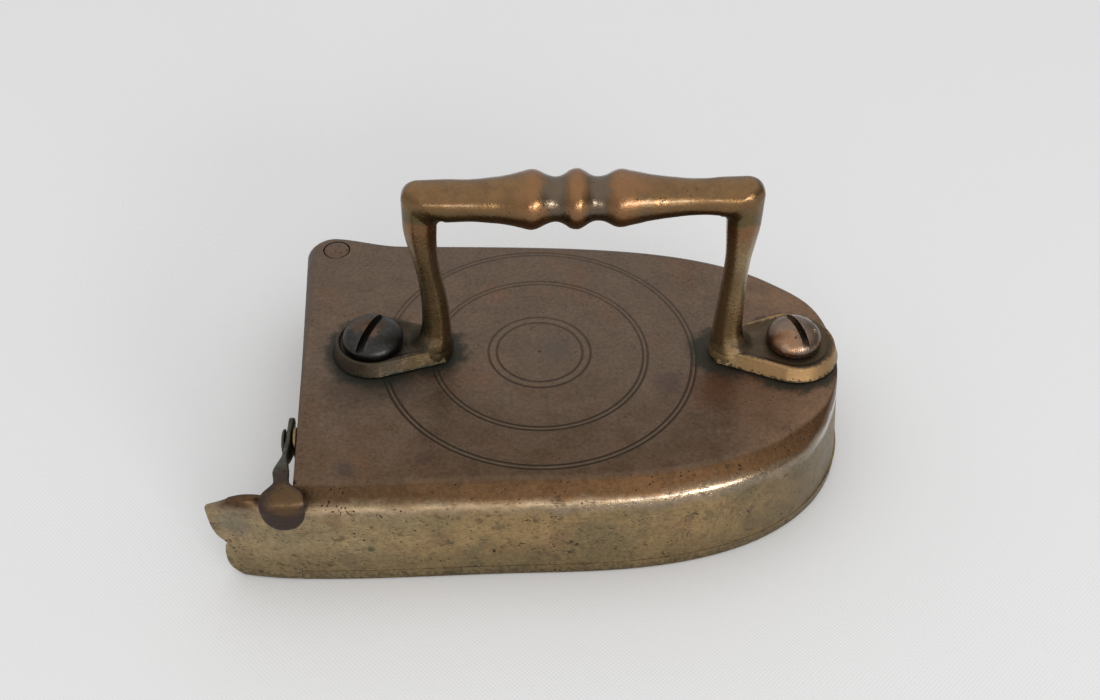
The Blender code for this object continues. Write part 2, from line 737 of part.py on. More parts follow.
def build_gate(brass):
    """Gate that closes the heel: a plate from a round barrel to an end that is true to the hinge."""
    low = SHELL_SEAT + RUNNING_GAP
    high = PLATE_UNDERSIDE - RUNNING_GAP
    outer_far, _, along = gate_line(0.0)
    inner_far, _, _ = gate_line(GATE_THICKNESS)
    outer_end = line_at_radius(outer_far, along, GATE_END_RADIUS)
    inner_end = line_at_radius(inner_far, along, GATE_END_RADIUS)
    inner_start = inner_far + along * (BARREL_RADIUS * GATE_INNER_START_SHARE)

    def plan(shrink):
        """Outline of the plate, drawn in all round by shrink."""
        inward = Vector((-along.y, along.x))
        return [outer_far + inward * shrink + along * (BARREL_RADIUS * GATE_OUTER_START_SHARE),
                outer_end + inward * shrink - along * shrink,
                inner_end - inward * shrink - along * shrink,
                inner_start - inward * shrink]

    edge = GATE_EDGE_ROUND
    loops = [flat_loop(plan(edge), low), flat_loop(plan(0.0), low + edge),
             flat_loop(plan(0.0), high - edge), flat_loop(plan(edge), high)]
    gate = stacked_solid("gate", loops, brass)
    barrel_profile = [(0.0, low), (BARREL_RADIUS - edge, low), (BARREL_RADIUS, low + edge),
                      (BARREL_RADIUS, high - edge), (BARREL_RADIUS - edge, high), (0.0, high)]
    barrel = turned_solid("barrel_addition", barrel_profile)
    barrel.location = HINGE
    join(gate, barrel)
    cut(gate, prism("barrel_bore_cutter", circle_points(HINGE, PIN_RADIUS + RUNNING_GAP), low - OVERRUN,
                    high + OVERRUN))
    cut(gate, pivot_bore("rivet_hole_cutter", LATCH_RIVET_RADIUS + FIT_GAP))
    set_origin(gate, HINGE)
    return even_triangles(gate)


def latch_frame():
    """Frame on the gate's outer face at the latch's pivot: X into the gate, Y to the hinge, Z up."""
    far, near, along = gate_line(0.0)
    point = far.lerp(near, (LATCH_PIVOT_Y - far.y) / (near.y - far.y))
    return Matrix((
        (-along.y, -along.x, 0.0, point.x),
        (along.x, -along.y, 0.0, point.y),
        (0.0, 0.0, 1.0, BODY_HEIGHT - LATCH_PIVOT_DROP),
        (0.0, 0.0, 0.0, 1.0),
    ))


def on_pivot(made):
    """Lays a solid turned about Z along the latch's pivot axis."""
    return place(made, latch_frame() @ Matrix.Rotation(0.5 * math.pi, 4, "Y"))


def pivot_bore(name, radius):
    """Cutter along the latch's pivot axis."""
    profile = [(0.0, -OVERRUN), (radius, -OVERRUN), (radius, OVERRUN), (0.0, OVERRUN)]
    return on_pivot(turned_solid(name, profile))


def latch_middle():
    """Place of the strap's middle along the pivot axis, out from the gate's face."""
    washer_end = FIT_GAP + LATCH_WASHER_STANDOFF + LATCH_WASHER_THICKNESS
    return -(washer_end + FIT_GAP + LATCH_THICKNESS * 0.5)


def build_latch_rivet(brass, iron):
    """Rivet on the gate and the stepped washer that keeps the latch clear of the top's edge."""
    head_high = latch_middle() - LATCH_THICKNESS * 0.5 - FIT_GAP
    head_low = head_high - LATCH_RIVET_HEAD_HEIGHT
    head = LATCH_RIVET_HEAD_RADIUS
    profile = [(head * out, head_low + LATCH_RIVET_HEAD_HEIGHT * rise)
               for out, rise in LATCH_RIVET_DOME_SHARES]
    profile += [(LATCH_RIVET_RADIUS, head_high), (LATCH_RIVET_RADIUS, LATCH_RIVET_END),
                (0.0, LATCH_RIVET_END)]
    on_pivot(turned_solid("latch_rivet", profile, iron))
    shoulder = -FIT_GAP - LATCH_WASHER_STANDOFF
    low = shoulder - LATCH_WASHER_THICKNESS
    profile = [(0.0, low), (LATCH_WASHER_RADIUS, low), (LATCH_WASHER_RADIUS, shoulder),
               (LATCH_WASHER_NECK_RADIUS, shoulder), (LATCH_WASHER_NECK_RADIUS, -FIT_GAP), (0.0, -FIT_GAP)]
    washer = on_pivot(turned_solid("latch_washer", profile, brass))
    cut(washer, pivot_bore("washer_bore_cutter", LATCH_RIVET_RADIUS + FIT_GAP))


def latch_path():
    """Stations of the latch in the plane it swings in, measured from its pivot.

    Each is (x, y, z, path's turn, half width along the pivot axis, half thickness).
    """
    frame = latch_frame()
    middle = (frame @ Vector((latch_middle(), 0.0, 0.0))).xy
    along = -frame.col[1].xy
    wall = line_at_radius(middle, along, HINGE_Y - NEAR_WALL_Y + LATCH_OVER_WALL_GAP)
    wall_clear = -(wall - middle).dot(along)
    over = LATCH_PIVOT_DROP + LATCH_OVER_WALL_GAP
    half = LATCH_PAD_THICKNESS * 0.5
    strap = LATCH_THICKNESS * 0.5
    arm = LATCH_ARM_HALF_HEIGHT
    eye = LATCH_EYE_RADIUS
    neck = LATCH_NECK_HALF_WIDTH
    pad = LATCH_PAD_HALF_WIDTH
    bend = LATCH_BEND_RADIUS
    bend_centre = (wall_clear + bend - half, over + half - bend)
    climb = (wall_clear * LATCH_CLIMB_START_SHARE, over + half)
    level, climbing = math.pi, math.pi * LATCH_CLIMB_TURN_SHARE
    x = latch_middle()
    pad_x = x + LATCH_PAD_SHIFT
    stations = [(x, LATCH_TAIL * reach, arm * LATCH_TAIL_RISE_SHARE, level, strap, arm * width)
                for reach, width in LATCH_TAIL_SHARES]
    for reach, rise, turned, width in LATCH_EYE_SHARES:
        stations.append((x, eye * reach, arm * rise, blend(level, climbing, turned), strap, eye * width))
    for reach, rise, turned, narrowed, flattened in LATCH_CLIMB_SHARES:
        half_x = blend(strap, neck, narrowed)
        half_t = blend(arm * LATCH_CLIMB_WIDTH_SHARE, half, flattened)
        stations.append((x, climb[0] * reach, climb[1] * rise, blend(level, climbing, turned),
                         half_x, half_t))
    shifted, advanced, widened = LATCH_WIDEN_SHARES
    stations.append((blend(x, pad_x, shifted), blend(climb[0], bend_centre[0], advanced), climb[1], level,
                     blend(neck, pad, widened), half))
    for turned, width_share in LATCH_BEND_SHARES:
        turn = math.pi * 0.5 * turned
        y = bend_centre[0] - bend * math.sin(turn)
        z = bend_centre[1] + bend * math.cos(turn)
        stations.append((pad_x, y, z, level + turn, pad * width_share, half))
    low = LATCH_PIVOT_DROP - LATCH_PAD_DROP
    downward = math.pi * 1.5
    for share, width_share in LATCH_DROP_SHARES:
        z = blend(bend_centre[1], low, share)
        thin = half * blend(1.0, LATCH_TIP_THIN_SHARE, share)
        stations.append((pad_x, bend_centre[0] - bend, z, downward, pad * width_share, thin))
    return stations


def build_latch(iron):
    """Latch: a strap from an eye on the gate, over the near wall to a pear-shaped pad."""
    loops = []
    for x, y, z, turn, half_x, half_t in latch_path():
        across = Vector((0.0, math.sin(turn), -math.cos(turn))) * half_t
        aside = Vector((half_x, 0.0, 0.0))
        centre = Vector((x, y, z))
        loops.append([centre + aside * side + across * up for side, up in LATCH_SECTION_SHARES])
    frame = latch_frame()
    latch = place(stacked_solid("latch_lever", loops, iron), frame)
    cut(latch, pivot_bore("latch_eye_cutter", LATCH_RIVET_RADIUS + FIT_GAP))
    set_origin(latch, frame @ Vector((latch_middle(), 0.0, 0.0)))


def build_slug(stations, iron):
    """Cast iron slug that is heated in the fire, with a hole for the hook that lifts it."""
    low = SOLE_THICKNESS + REST_RIB_HEIGHT + FIT_GAP
    high = low + SLUG_HEIGHT
    inner_far, inner_near, along = gate_line(GATE_THICKNESS + SLUG_PLAY)
    inside = []
    for station in stations:
        lean = body_lines(station)[3]
        point = station[0] - station[1] * (WALL_THICKNESS + lean + SLUG_SIDE_GAP)
        gate_x = blend(inner_far.x, inner_near.x, (point.y - inner_far.y) / (inner_near.y - inner_far.y))
        if point.x > gate_x and point.y < HINGE_Y - BARREL_RADIUS - SLUG_SIDE_GAP:
            inside.append(point)
    corners = []
    for y in (inside[-1].y, inside[0].y):
        gate_x = blend(inner_far.x, inner_near.x, (y - inner_far.y) / (inner_near.y - inner_far.y))
        corners.append(Vector((gate_x, y)))
    outline = inside + corners
    middle = sum(outline, Vector((0.0, 0.0))) / len(outline)

    def drawn_in(size):
        """Outline moved towards its middle by a size."""
        return [point + (middle - point).normalized() * size for point in outline]

    edge = SLUG_EDGE_ROUND
    loops = [flat_loop(drawn_in(edge), low), flat_loop(outline, low + edge),
             flat_loop(outline, high - edge), flat_loop(drawn_in(edge), high)]
    slug = stacked_solid("slug", loops, iron)
    hook = circle_points((corners[0].lerp(corners[1], 0.5).x + SLUG_HOOK_INSET, 0.0), SLUG_HOOK_RADIUS)
    cut(slug, prism("hook_hole_cutter", hook, low - OVERRUN, high + OVERRUN))
    return even_triangles(slug)


def foot_outline(screw_x, radius, post_x, shrink):
    """Plan of a foot: a round pad at the screw that narrows to the post."""
    side = 1.0 if screw_x > post_x else -1.0
    centre_to_post = abs(screw_x - post_x)
    neck = FOOT_NECK_HALF_WIDTH - shrink
    disc = radius - shrink
    spread = math.acos(min(FOOT_SPREAD_LIMIT_SHARE, (disc - neck) / centre_to_post)) + FOOT_NECK_TURN
    points = []
    for index in range(FOOT_STATIONS):
        turn = blend(math.pi - spread, spread - math.pi, index / (FOOT_STATIONS - 1))
        points.append((screw_x + side * disc * math.cos(turn), disc * math.sin(turn)))
    back = post_x - side * (POST_HALF_WIDTH * FOOT_BACK_SHARE - shrink)
    run = back + side * neck * FOOT_CORNER_RUN_SHARE
    width = neck * FOOT_CORNER_WIDTH_SHARE
    return points + [(run, -neck), (back, -width), (back, width), (run, neck)]


def build_foot(name, screw_x, radius, post_x):
    """Foot of the handle with a rounded edge and a shallow seat for the screw's head."""
    low = BODY_HEIGHT + FOOT_SEAT_GAP
    high = low + FOOT_THICKNESS
    edge = FOOT_EDGE_ROUND
    loops = []
    for shrink, rise in FOOT_EDGE_SHARES:
        base = low if len(loops) < 2 else high
        loops.append(flat_loop(foot_outline(screw_x, radius, post_x, shrink * edge), base + rise * edge))
    return stacked_solid(name, loops)


def section_points(outer, inner, half_depth, squareness):
    """Ring of points between an outer and an inner point, from round to chamfered square."""
    middle = (outer + inner) * 0.5
    half = (outer - inner) * 0.5
    limit = 2.0 - POST_CHAMFER_SHARE
    corner = math.atan(1.0 - POST_CHAMFER_SHARE)
    right = math.pi * 0.5
    quarter = [0.0, corner * 0.5, corner, right * 0.5, right - corner, right - corner * 0.5]
    points = []
    for quadrant in range(4):
        for angle in quarter:
            turn = quadrant * right + angle
            along, across = math.cos(turn), math.sin(turn)
            flat = 1.0 / max(abs(along), abs(across), (abs(along) + abs(across)) / limit)
            reach = blend(1.0, flat, squareness)
            points.append(middle + half * (along * reach) + Vector((0.0, half_depth * across * reach, 0.0)))
    return points


def post_stations(post_x, side, lean, axis_height):
    """Stations of a post from its foot upwards: (outer, inner, half depth, squareness)."""
    stations = []
    base = BODY_HEIGHT + FOOT_SEAT_GAP
    foot_top = base + FOOT_THICKNESS
    top = axis_height - BAR_END_RADIUS - INNER_CORNER_ROUND
    levels = [(blend(base, top, POST_WIDTH_SHARES[0][0]), FOOT_SWEEP_RADIUS)]
    for index in range(SWEEP_STATIONS):
        turn = 0.5 * math.pi * index / SWEEP_STATIONS
        levels.append((foot_top + FOOT_SWEEP_RADIUS * (1.0 - math.cos(turn)),
                       FOOT_SWEEP_RADIUS * (1.0 - math.sin(turn))))
    for index in range(POST_STATIONS):
        levels.append((blend(foot_top + FOOT_SWEEP_RADIUS, top, index / (POST_STATIONS - 1)), 0.0))
    for height, sweep in levels:
        share = (height - base) / (top - base)
        half = POST_HALF_WIDTH * smooth_table(POST_WIDTH_SHARES, share)
        depth = POST_HALF_DEPTH * smooth_table(POST_DEPTH_SHARES, share)
        centre = post_x + side * lean * smooth_step(POST_LEAN_START_SHARE, 1.0, share)
        outer = Vector((centre + side * (half + sweep), 0.0, height))
        inner = Vector((centre - side * half, 0.0, height))
        stations.append((outer, inner, depth, 1.0))
    return stations


def corner_stations(post_top, side, axis_height):
    """Stations round the corner between a post and the bar."""
    outer_x, inner_x = post_top[0].x, post_top[1].x
    crown = axis_height + BAR_END_RADIUS
    below = axis_height - BAR_END_RADIUS
    outer_centre = (outer_x - side * OUTER_CORNER_ROUND, crown - OUTER_CORNER_ROUND)
    inner_centre = (inner_x - side * INNER_CORNER_ROUND, below - INNER_CORNER_ROUND)
    stations = []
    for index in range(1, BAR_CORNER_STATIONS + 1):
        share = index / BAR_CORNER_STATIONS
        turn = math.pi * 0.5 * share
        outer = Vector((outer_centre[0] + side * OUTER_CORNER_ROUND * math.cos(turn), 0.0,
                        outer_centre[1] + OUTER_CORNER_ROUND * math.sin(turn)))
        inner = Vector((inner_centre[0] + side * INNER_CORNER_ROUND * math.cos(turn), 0.0,
                        inner_centre[1] + INNER_CORNER_ROUND * math.sin(turn)))
        depth = blend(POST_HALF_DEPTH, BAR_END_RADIUS, share)
        stations.append((outer, inner, depth, blend(1.0, BAR_END_SQUARENESS, share)))
    return stations


def bar_stations(rear_x, front_x, rear_height, front_height):
    """Stations along the bar with its beads."""
    stations = []
    for index in range(1, BAR_STATIONS):
        share = index / BAR_STATIONS
        x = blend(rear_x, front_x, share)
        height = blend(rear_height, front_height, share)
        radius = BEAD_RADIUS * smooth_table(BAR_PROFILE_SHARES, share)
        from_end = min(share, 1.0 - share)
        squareness = BAR_END_SQUARENESS * (1.0 - smooth_step(0.0, BAR_SQUARE_REACH_SHARE, from_end))
        upper, lower = Vector((x, 0.0, height + radius)), Vector((x, 0.0, height - radius))
        stations.append((upper, lower, radius, squareness))
    return stations


def build_handle(brass):
    """Handle cast in one: two feet, two faceted posts and a bar with three beads."""
    rear_height = BODY_HEIGHT + BAR_HEIGHT
    front_height = rear_height + BAR_RISE
    rear = post_stations(REAR_POST_X, -1.0, REAR_POST_LEAN, rear_height)
    front = post_stations(FRONT_POST_X, 1.0, FRONT_POST_LEAN, front_height)
    rear_corner = corner_stations(rear[-1], -1.0, rear_height)
    front_corner = corner_stations(front[-1], 1.0, front_height)
    rear_end = rear_corner[-1][1].x
    front_end = front_corner[-1][1].x
    bar = bar_stations(rear_end, front_end, rear_height, front_height)
    stations = rear + rear_corner + bar + front_corner[::-1] + front[::-1]
    handle = stacked_solid("handle", [section_points(*station) for station in stations], brass)
    add_foot(handle, "rear", REAR_SCREW_X, REAR_FOOT_RADIUS, REAR_POST_X, REAR_HEAD_RADIUS,
             REAR_RECESS_DEPTH)
    add_foot(handle, "front", FRONT_SCREW_X, FRONT_FOOT_RADIUS, FRONT_POST_X, FRONT_HEAD_RADIUS,
             FRONT_RECESS_DEPTH)
    return even_triangles(handle)


def add_foot(handle, name, screw_x, radius, post_x, head_radius, recess):
    """Joins a foot to the handle, with the seat and the bore of its screw."""
    high = BODY_HEIGHT + FOOT_SEAT_GAP + FOOT_THICKNESS
    join(handle, build_foot(f"{name}_foot_addition", screw_x, radius, post_x))
    seat = circle_points((screw_x, 0.0), head_radius + FOOT_RECESS_MARGIN)
    cut(handle, prism(f"{name}_seat_cutter", seat, high - recess, high + OVERRUN))
    bore = circle_points((screw_x, 0.0), SCREW_SHANK_RADIUS + FIT_GAP)
    cut(handle, prism(f"{name}_bore_cutter", bore, BODY_HEIGHT - OVERRUN, high + OVERRUN))


def build_screw(name, metal, x, recess, head, slot):
    """Domed screw with a sawn slot, its shank through the foot and into the top plate.

    The head is its radius and height, the slot its width, depth and turn.
    """
    seat = BODY_HEIGHT + FOOT_SEAT_GAP + FOOT_THICKNESS - recess + FIT_GAP
    head_radius, head_height = head
    slot_width, slot_depth, slot_turn = slot
    crown = seat + head_height
    end = PLATE_UNDERSIDE + FIT_GAP
    dome = head_height - SCREW_HEAD_EDGE
    profile = [(0.0, end), (SCREW_SHANK_RADIUS, end), (SCREW_SHANK_RADIUS, seat), (head_radius, seat),
               (head_radius, seat + SCREW_HEAD_EDGE)]
    for index in range(1, DOME_STATIONS + 1):
        turn = math.pi * 0.5 * index / DOME_STATIONS
        radius = head_radius * math.cos(turn) if index < DOME_STATIONS else 0.0
        profile.append((radius, seat + SCREW_HEAD_EDGE + dome * math.sin(turn)))
    screw = turned_solid(name, profile, metal)
    reach = head_radius + FIT_GAP
    half = slot_width * 0.5
    points = [(-reach, -half), (reach, -half), (reach, half), (-reach, half)]
    cutter = prism(f"{name}_slot_cutter", points, crown - slot_depth, crown + OVERRUN)
    place(cutter, Matrix.Rotation(slot_turn, 4, "Z"))
    cutter.location = (x, 0.0, 0.0)
    screw.location = (x, 0.0, 0.0)
    cut(screw, cutter)
    return screw


def build_iron():
    """Builds every piece of the iron."""
    for old in list(bpy.data.objects):
        bpy.data.objects.remove(old)
    brass = make_material("aged_brass", (0.23, 0.15, 0.08), 0.42, 1.0)
    gold_brass = make_material("rubbed_brass", (0.33, 0.22, 0.10), 0.30, 1.0)
    screw_brass = make_material("screw_brass", (0.30, 0.19, 0.12), 0.36, 1.0)
    dark_iron = make_material("dark_iron", (0.07, 0.06, 0.055), 0.62, 0.8)
    stations = outline_stations()
    build_shell(stations, brass)
    build_sole(stations, brass)
    build_pin(brass)
    build_gate(brass)
    build_latch_rivet(brass, dark_iron)
    build_latch(dark_iron)
    build_slug(stations, dark_iron)
    build_handle(gold_brass)
    build_screw("handle_screw_rear", dark_iron, REAR_SCREW_X, REAR_RECESS_DEPTH,
                (REAR_HEAD_RADIUS, REAR_HEAD_HEIGHT), (REAR_SLOT_WIDTH, REAR_SLOT_DEPTH, REAR_SLOT_TURN))
    build_screw("handle_screw_front", screw_brass, FRONT_SCREW_X, FRONT_RECESS_DEPTH,
                (FRONT_HEAD_RADIUS, FRONT_HEAD_HEIGHT), (FRONT_SLOT_WIDTH, FRONT_SLOT_DEPTH, FRONT_SLOT_TURN))


build_iron()
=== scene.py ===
"""Finished look of the slug iron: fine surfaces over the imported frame, aged finishes, table and light.

Sizes are in metres in the frame's own axes: +X to the nose, +Y to the hinge side, +Z up.
"""
import json
import logging
import math
from dataclasses import dataclass
from enum import Enum
from typing import Callable, Optional, Sequence

import bmesh
import bpy
import numpy as np
from mathutils import Matrix, Vector

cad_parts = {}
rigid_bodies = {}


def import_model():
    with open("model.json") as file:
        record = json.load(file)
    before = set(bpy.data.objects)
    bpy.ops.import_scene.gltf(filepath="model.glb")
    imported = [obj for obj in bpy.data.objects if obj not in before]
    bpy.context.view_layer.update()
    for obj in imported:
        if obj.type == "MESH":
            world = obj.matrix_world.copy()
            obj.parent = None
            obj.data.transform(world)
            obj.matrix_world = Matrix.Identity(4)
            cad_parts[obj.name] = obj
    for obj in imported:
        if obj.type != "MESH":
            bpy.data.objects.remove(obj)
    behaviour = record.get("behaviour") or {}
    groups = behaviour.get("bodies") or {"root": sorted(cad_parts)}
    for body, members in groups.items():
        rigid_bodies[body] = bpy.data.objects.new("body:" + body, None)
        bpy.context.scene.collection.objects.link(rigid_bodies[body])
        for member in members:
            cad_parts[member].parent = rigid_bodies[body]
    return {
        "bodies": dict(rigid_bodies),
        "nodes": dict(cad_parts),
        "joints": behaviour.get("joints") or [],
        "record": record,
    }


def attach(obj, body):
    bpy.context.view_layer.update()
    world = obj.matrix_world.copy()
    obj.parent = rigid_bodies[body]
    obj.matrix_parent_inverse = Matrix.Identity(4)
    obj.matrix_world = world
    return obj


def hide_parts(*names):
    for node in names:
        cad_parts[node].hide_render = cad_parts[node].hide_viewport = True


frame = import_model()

Array = np.ndarray
Place = Colour = tuple[float, float, float]
Pair = tuple[float, float]
Line = tuple[Pair, ...]
Profile = Sequence[Pair]
Stations = tuple[Array, Array, Array, Array]  # outer, inner, half depth, squareness
Material, Node, Piece, Socket = bpy.types.Material, bpy.types.Node, bpy.types.Object, bpy.types.NodeSocket
SCREWS: Pair = (-0.0462, 0.0706)
POSTS: Pair = (-0.0284, 0.0516)
log = logging.getLogger("slug_iron")


class End(Enum):
    """How a skin closes at one end: with a flat face, drawn to a point, or where its own points meet."""

    FLAT = "flat"
    POINT = "point"
    SEAM = "seam"


class Cut(Enum):
    """What a tool does to the body it meets."""

    AWAY = "DIFFERENCE"
    WITH = "UNION"


# Numbers and curves

def ease(low: float, high: float, value: Array) -> Array:
    """Eased 0 to 1 ramp, 3t² − 2t³ of the share t that value has between low and high."""
    share = np.clip((np.asarray(value, float) - low) / (high - low), 0.0, 1.0)
    return share * share * (3.0 - 2.0 * share)


def blend(first: Array, second: Array, share: Array) -> Array:
    """Value that lies share of the way from first to second."""
    return first + (second - first) * share


def through(table: Profile, at: Array) -> Array:
    """Smooth curve through a table, cubic Hermite pieces with the slope of each point's neighbours.

    Args:
        table: (place, value) pairs in rising order.
        at: places to read.

    Returns:
        The curve's value at each place.
    """
    x, y = np.array(table, float).T
    slope = np.empty_like(y)
    slope[1:-1] = (y[2:] - y[:-2]) / (x[2:] - x[:-2])
    slope[0] = (y[1] - y[0]) / (x[1] - x[0])
    slope[-1] = (y[-1] - y[-2]) / (x[-1] - x[-2])
    place = np.asarray(at, float)
    low = np.clip(np.searchsorted(x, place) - 1, 0, len(x) - 2)
    span = x[low + 1] - x[low]
    t = np.clip((place - x[low]) / span, 0.0, 1.0)
    return ((2 * t**3 - 3 * t**2 + 1) * y[low] + (t**3 - 2 * t**2 + t) * span * slope[low]
            + (3 * t**2 - 2 * t**3) * y[low + 1] + (t**3 - t**2) * span * slope[low + 1])


def reaches(points: Array) -> Array:
    """Length of a path up to each of its points."""
    return np.concatenate([[0.0], np.cumsum(np.linalg.norm(np.diff(points, axis=0), axis=1))])


def even_path(points: Array, pitch: float) -> Array:
    """Points of a path at even steps of its length, read along its straight runs.

    Args:
        points: the path.
        pitch: length of a step.

    Returns:
        Points of the new path.
    """
    reach = reaches(points)
    count = max(2, int(round(reach[-1] / pitch)) + 1)
    steps = np.linspace(0.0, reach[-1], count)
    return np.stack([np.interp(steps, reach, points[:, axis]) for axis in range(points.shape[1])], axis=1)


def arc(centre: Sequence[float], radius: float, start: float, sweep: float, count: int) -> Array:
    """Plan points of an arc, centre plus radius times (cos, sin) of each turn."""
    turn = start + sweep * np.linspace(0.0, 1.0, count)
    return np.stack([centre[0] + radius * np.cos(turn), centre[1] + radius * np.sin(turn)], axis=1)


def ring_plan(centre: Sequence[float], radius: float, count: int = 96) -> Array:
    """Plan points of a whole circle, the last left out."""
    return arc(centre, radius, 0.0, math.tau, count + 1)[:-1]


def box_plan(low: float, high: float, middle: float, half: float) -> Array:
    """Plan points of a box from low to high along X, half to either side of its middle."""
    return np.array([[low, middle - half], [high, middle - half], [high, middle + half], [low, middle + half]])


def quarter(count: int) -> Array:
    """Even turns from 0 to a quarter of a circle."""
    return np.linspace(0.0, math.pi * 0.5, count)


def circle(count: int) -> Array:
    """Even turns of a whole circle, the last left out."""
    return np.linspace(0.0, math.tau, count, endpoint=False)


def eased_rows(edge: float, low: float, high: float, count: int) -> list[Pair]:
    """Inset and height of rows up a block: edge·(1 − sin t) and edge·(1 − cos t) from its low and high end."""
    rows = [(edge * (1.0 - math.sin(t)), edge * (1.0 - math.cos(t))) for t in quarter(count)]
    return [(inset, low + rise) for inset, rise in rows] + [(inset, high - rise) for inset, rise in rows[::-1]]


def midline(x: Array, height: Array) -> Array:
    """Points in the upright plane through the iron's middle."""
    return np.stack([x, np.zeros_like(x), height], axis=1)


def lifted(plan: Array, height: Array) -> Array:
    """Plan points as 3-D points at one height, or at a height each."""
    tall = np.broadcast_to(np.asarray(height, float), plan.shape[:1])
    return np.concatenate([plan, tall[:, None]], axis=1)


def corner_curve(before: Array, corner: Array, after: Array, size: float, count: int) -> Array:
    """Rounded corners of many columns at once.

    Each is the quadratic curve (1−t)²·start + 2t(1−t)·corner + t²·end, where start and end lie on the
    two straight runs, size away from the corner but never past 0.4 of a run.

    Args:
        before: points before each corner, (columns, 3).
        corner: the corners, (columns, 3).
        after: points after each corner, (columns, 3).
        size: reach of the rounding.
        count: points of each curve.

    Returns:
        Array of (count, columns, 3).
    """
    first, second = before - corner, after - corner
    long_first = np.linalg.norm(first, axis=1, keepdims=True) + 1e-12
    long_second = np.linalg.norm(second, axis=1, keepdims=True) + 1e-12
    start = corner + first / long_first * np.minimum(size, 0.4 * long_first)
    end = corner + second / long_second * np.minimum(size, 0.4 * long_second)
    t = np.linspace(0.0, 1.0, count)[:, None, None]
    return (1 - t) ** 2 * start + 2 * t * (1 - t) * corner + t**2 * end


# Skins and meshes

@dataclass
class Skin:
    """Closed surface given as a grid: rows of loops, each loop wrapped round.

    Point (row, column) of the grid is the surface at its two parameters; neighbouring rows are joined
    by four-sided faces, and the first and last rows are closed by a flat face or a point.
    """

    grid: Array
    low: End = End.FLAT
    high: End = End.FLAT

    def faces(self) -> tuple[list[list[int]], Array]:
        """Faces of the skin and its points in order.

        Returns:
            Faces as point numbers, and the points.
        """
        rows, columns, _ = self.grid.shape
        number = np.arange(rows * columns).reshape(rows, columns)
        after = np.roll(number, -1, axis=1)
        quads = np.stack([number[:-1], after[:-1], after[1:], number[1:]], axis=-1).reshape(-1, 4)
        faces = quads.tolist()
        points = [self.grid.reshape(-1, 3)]
        extra = rows * columns
        for end, row, turned in ((self.low, 0, True), (self.high, -1, False)):
            loop = number[row]
            if end is End.SEAM:
                continue
            if end is End.FLAT:
                faces.append((loop[::-1] if turned else loop).tolist())
                continue
            points.append(self.grid[row].mean(axis=0)[None])
            pair = (np.roll(loop, -1), loop) if turned else (loop, np.roll(loop, -1))
            faces += np.stack([*pair, np.full(columns, extra)], axis=1).tolist()
            extra += 1
        return faces, np.concatenate(points)


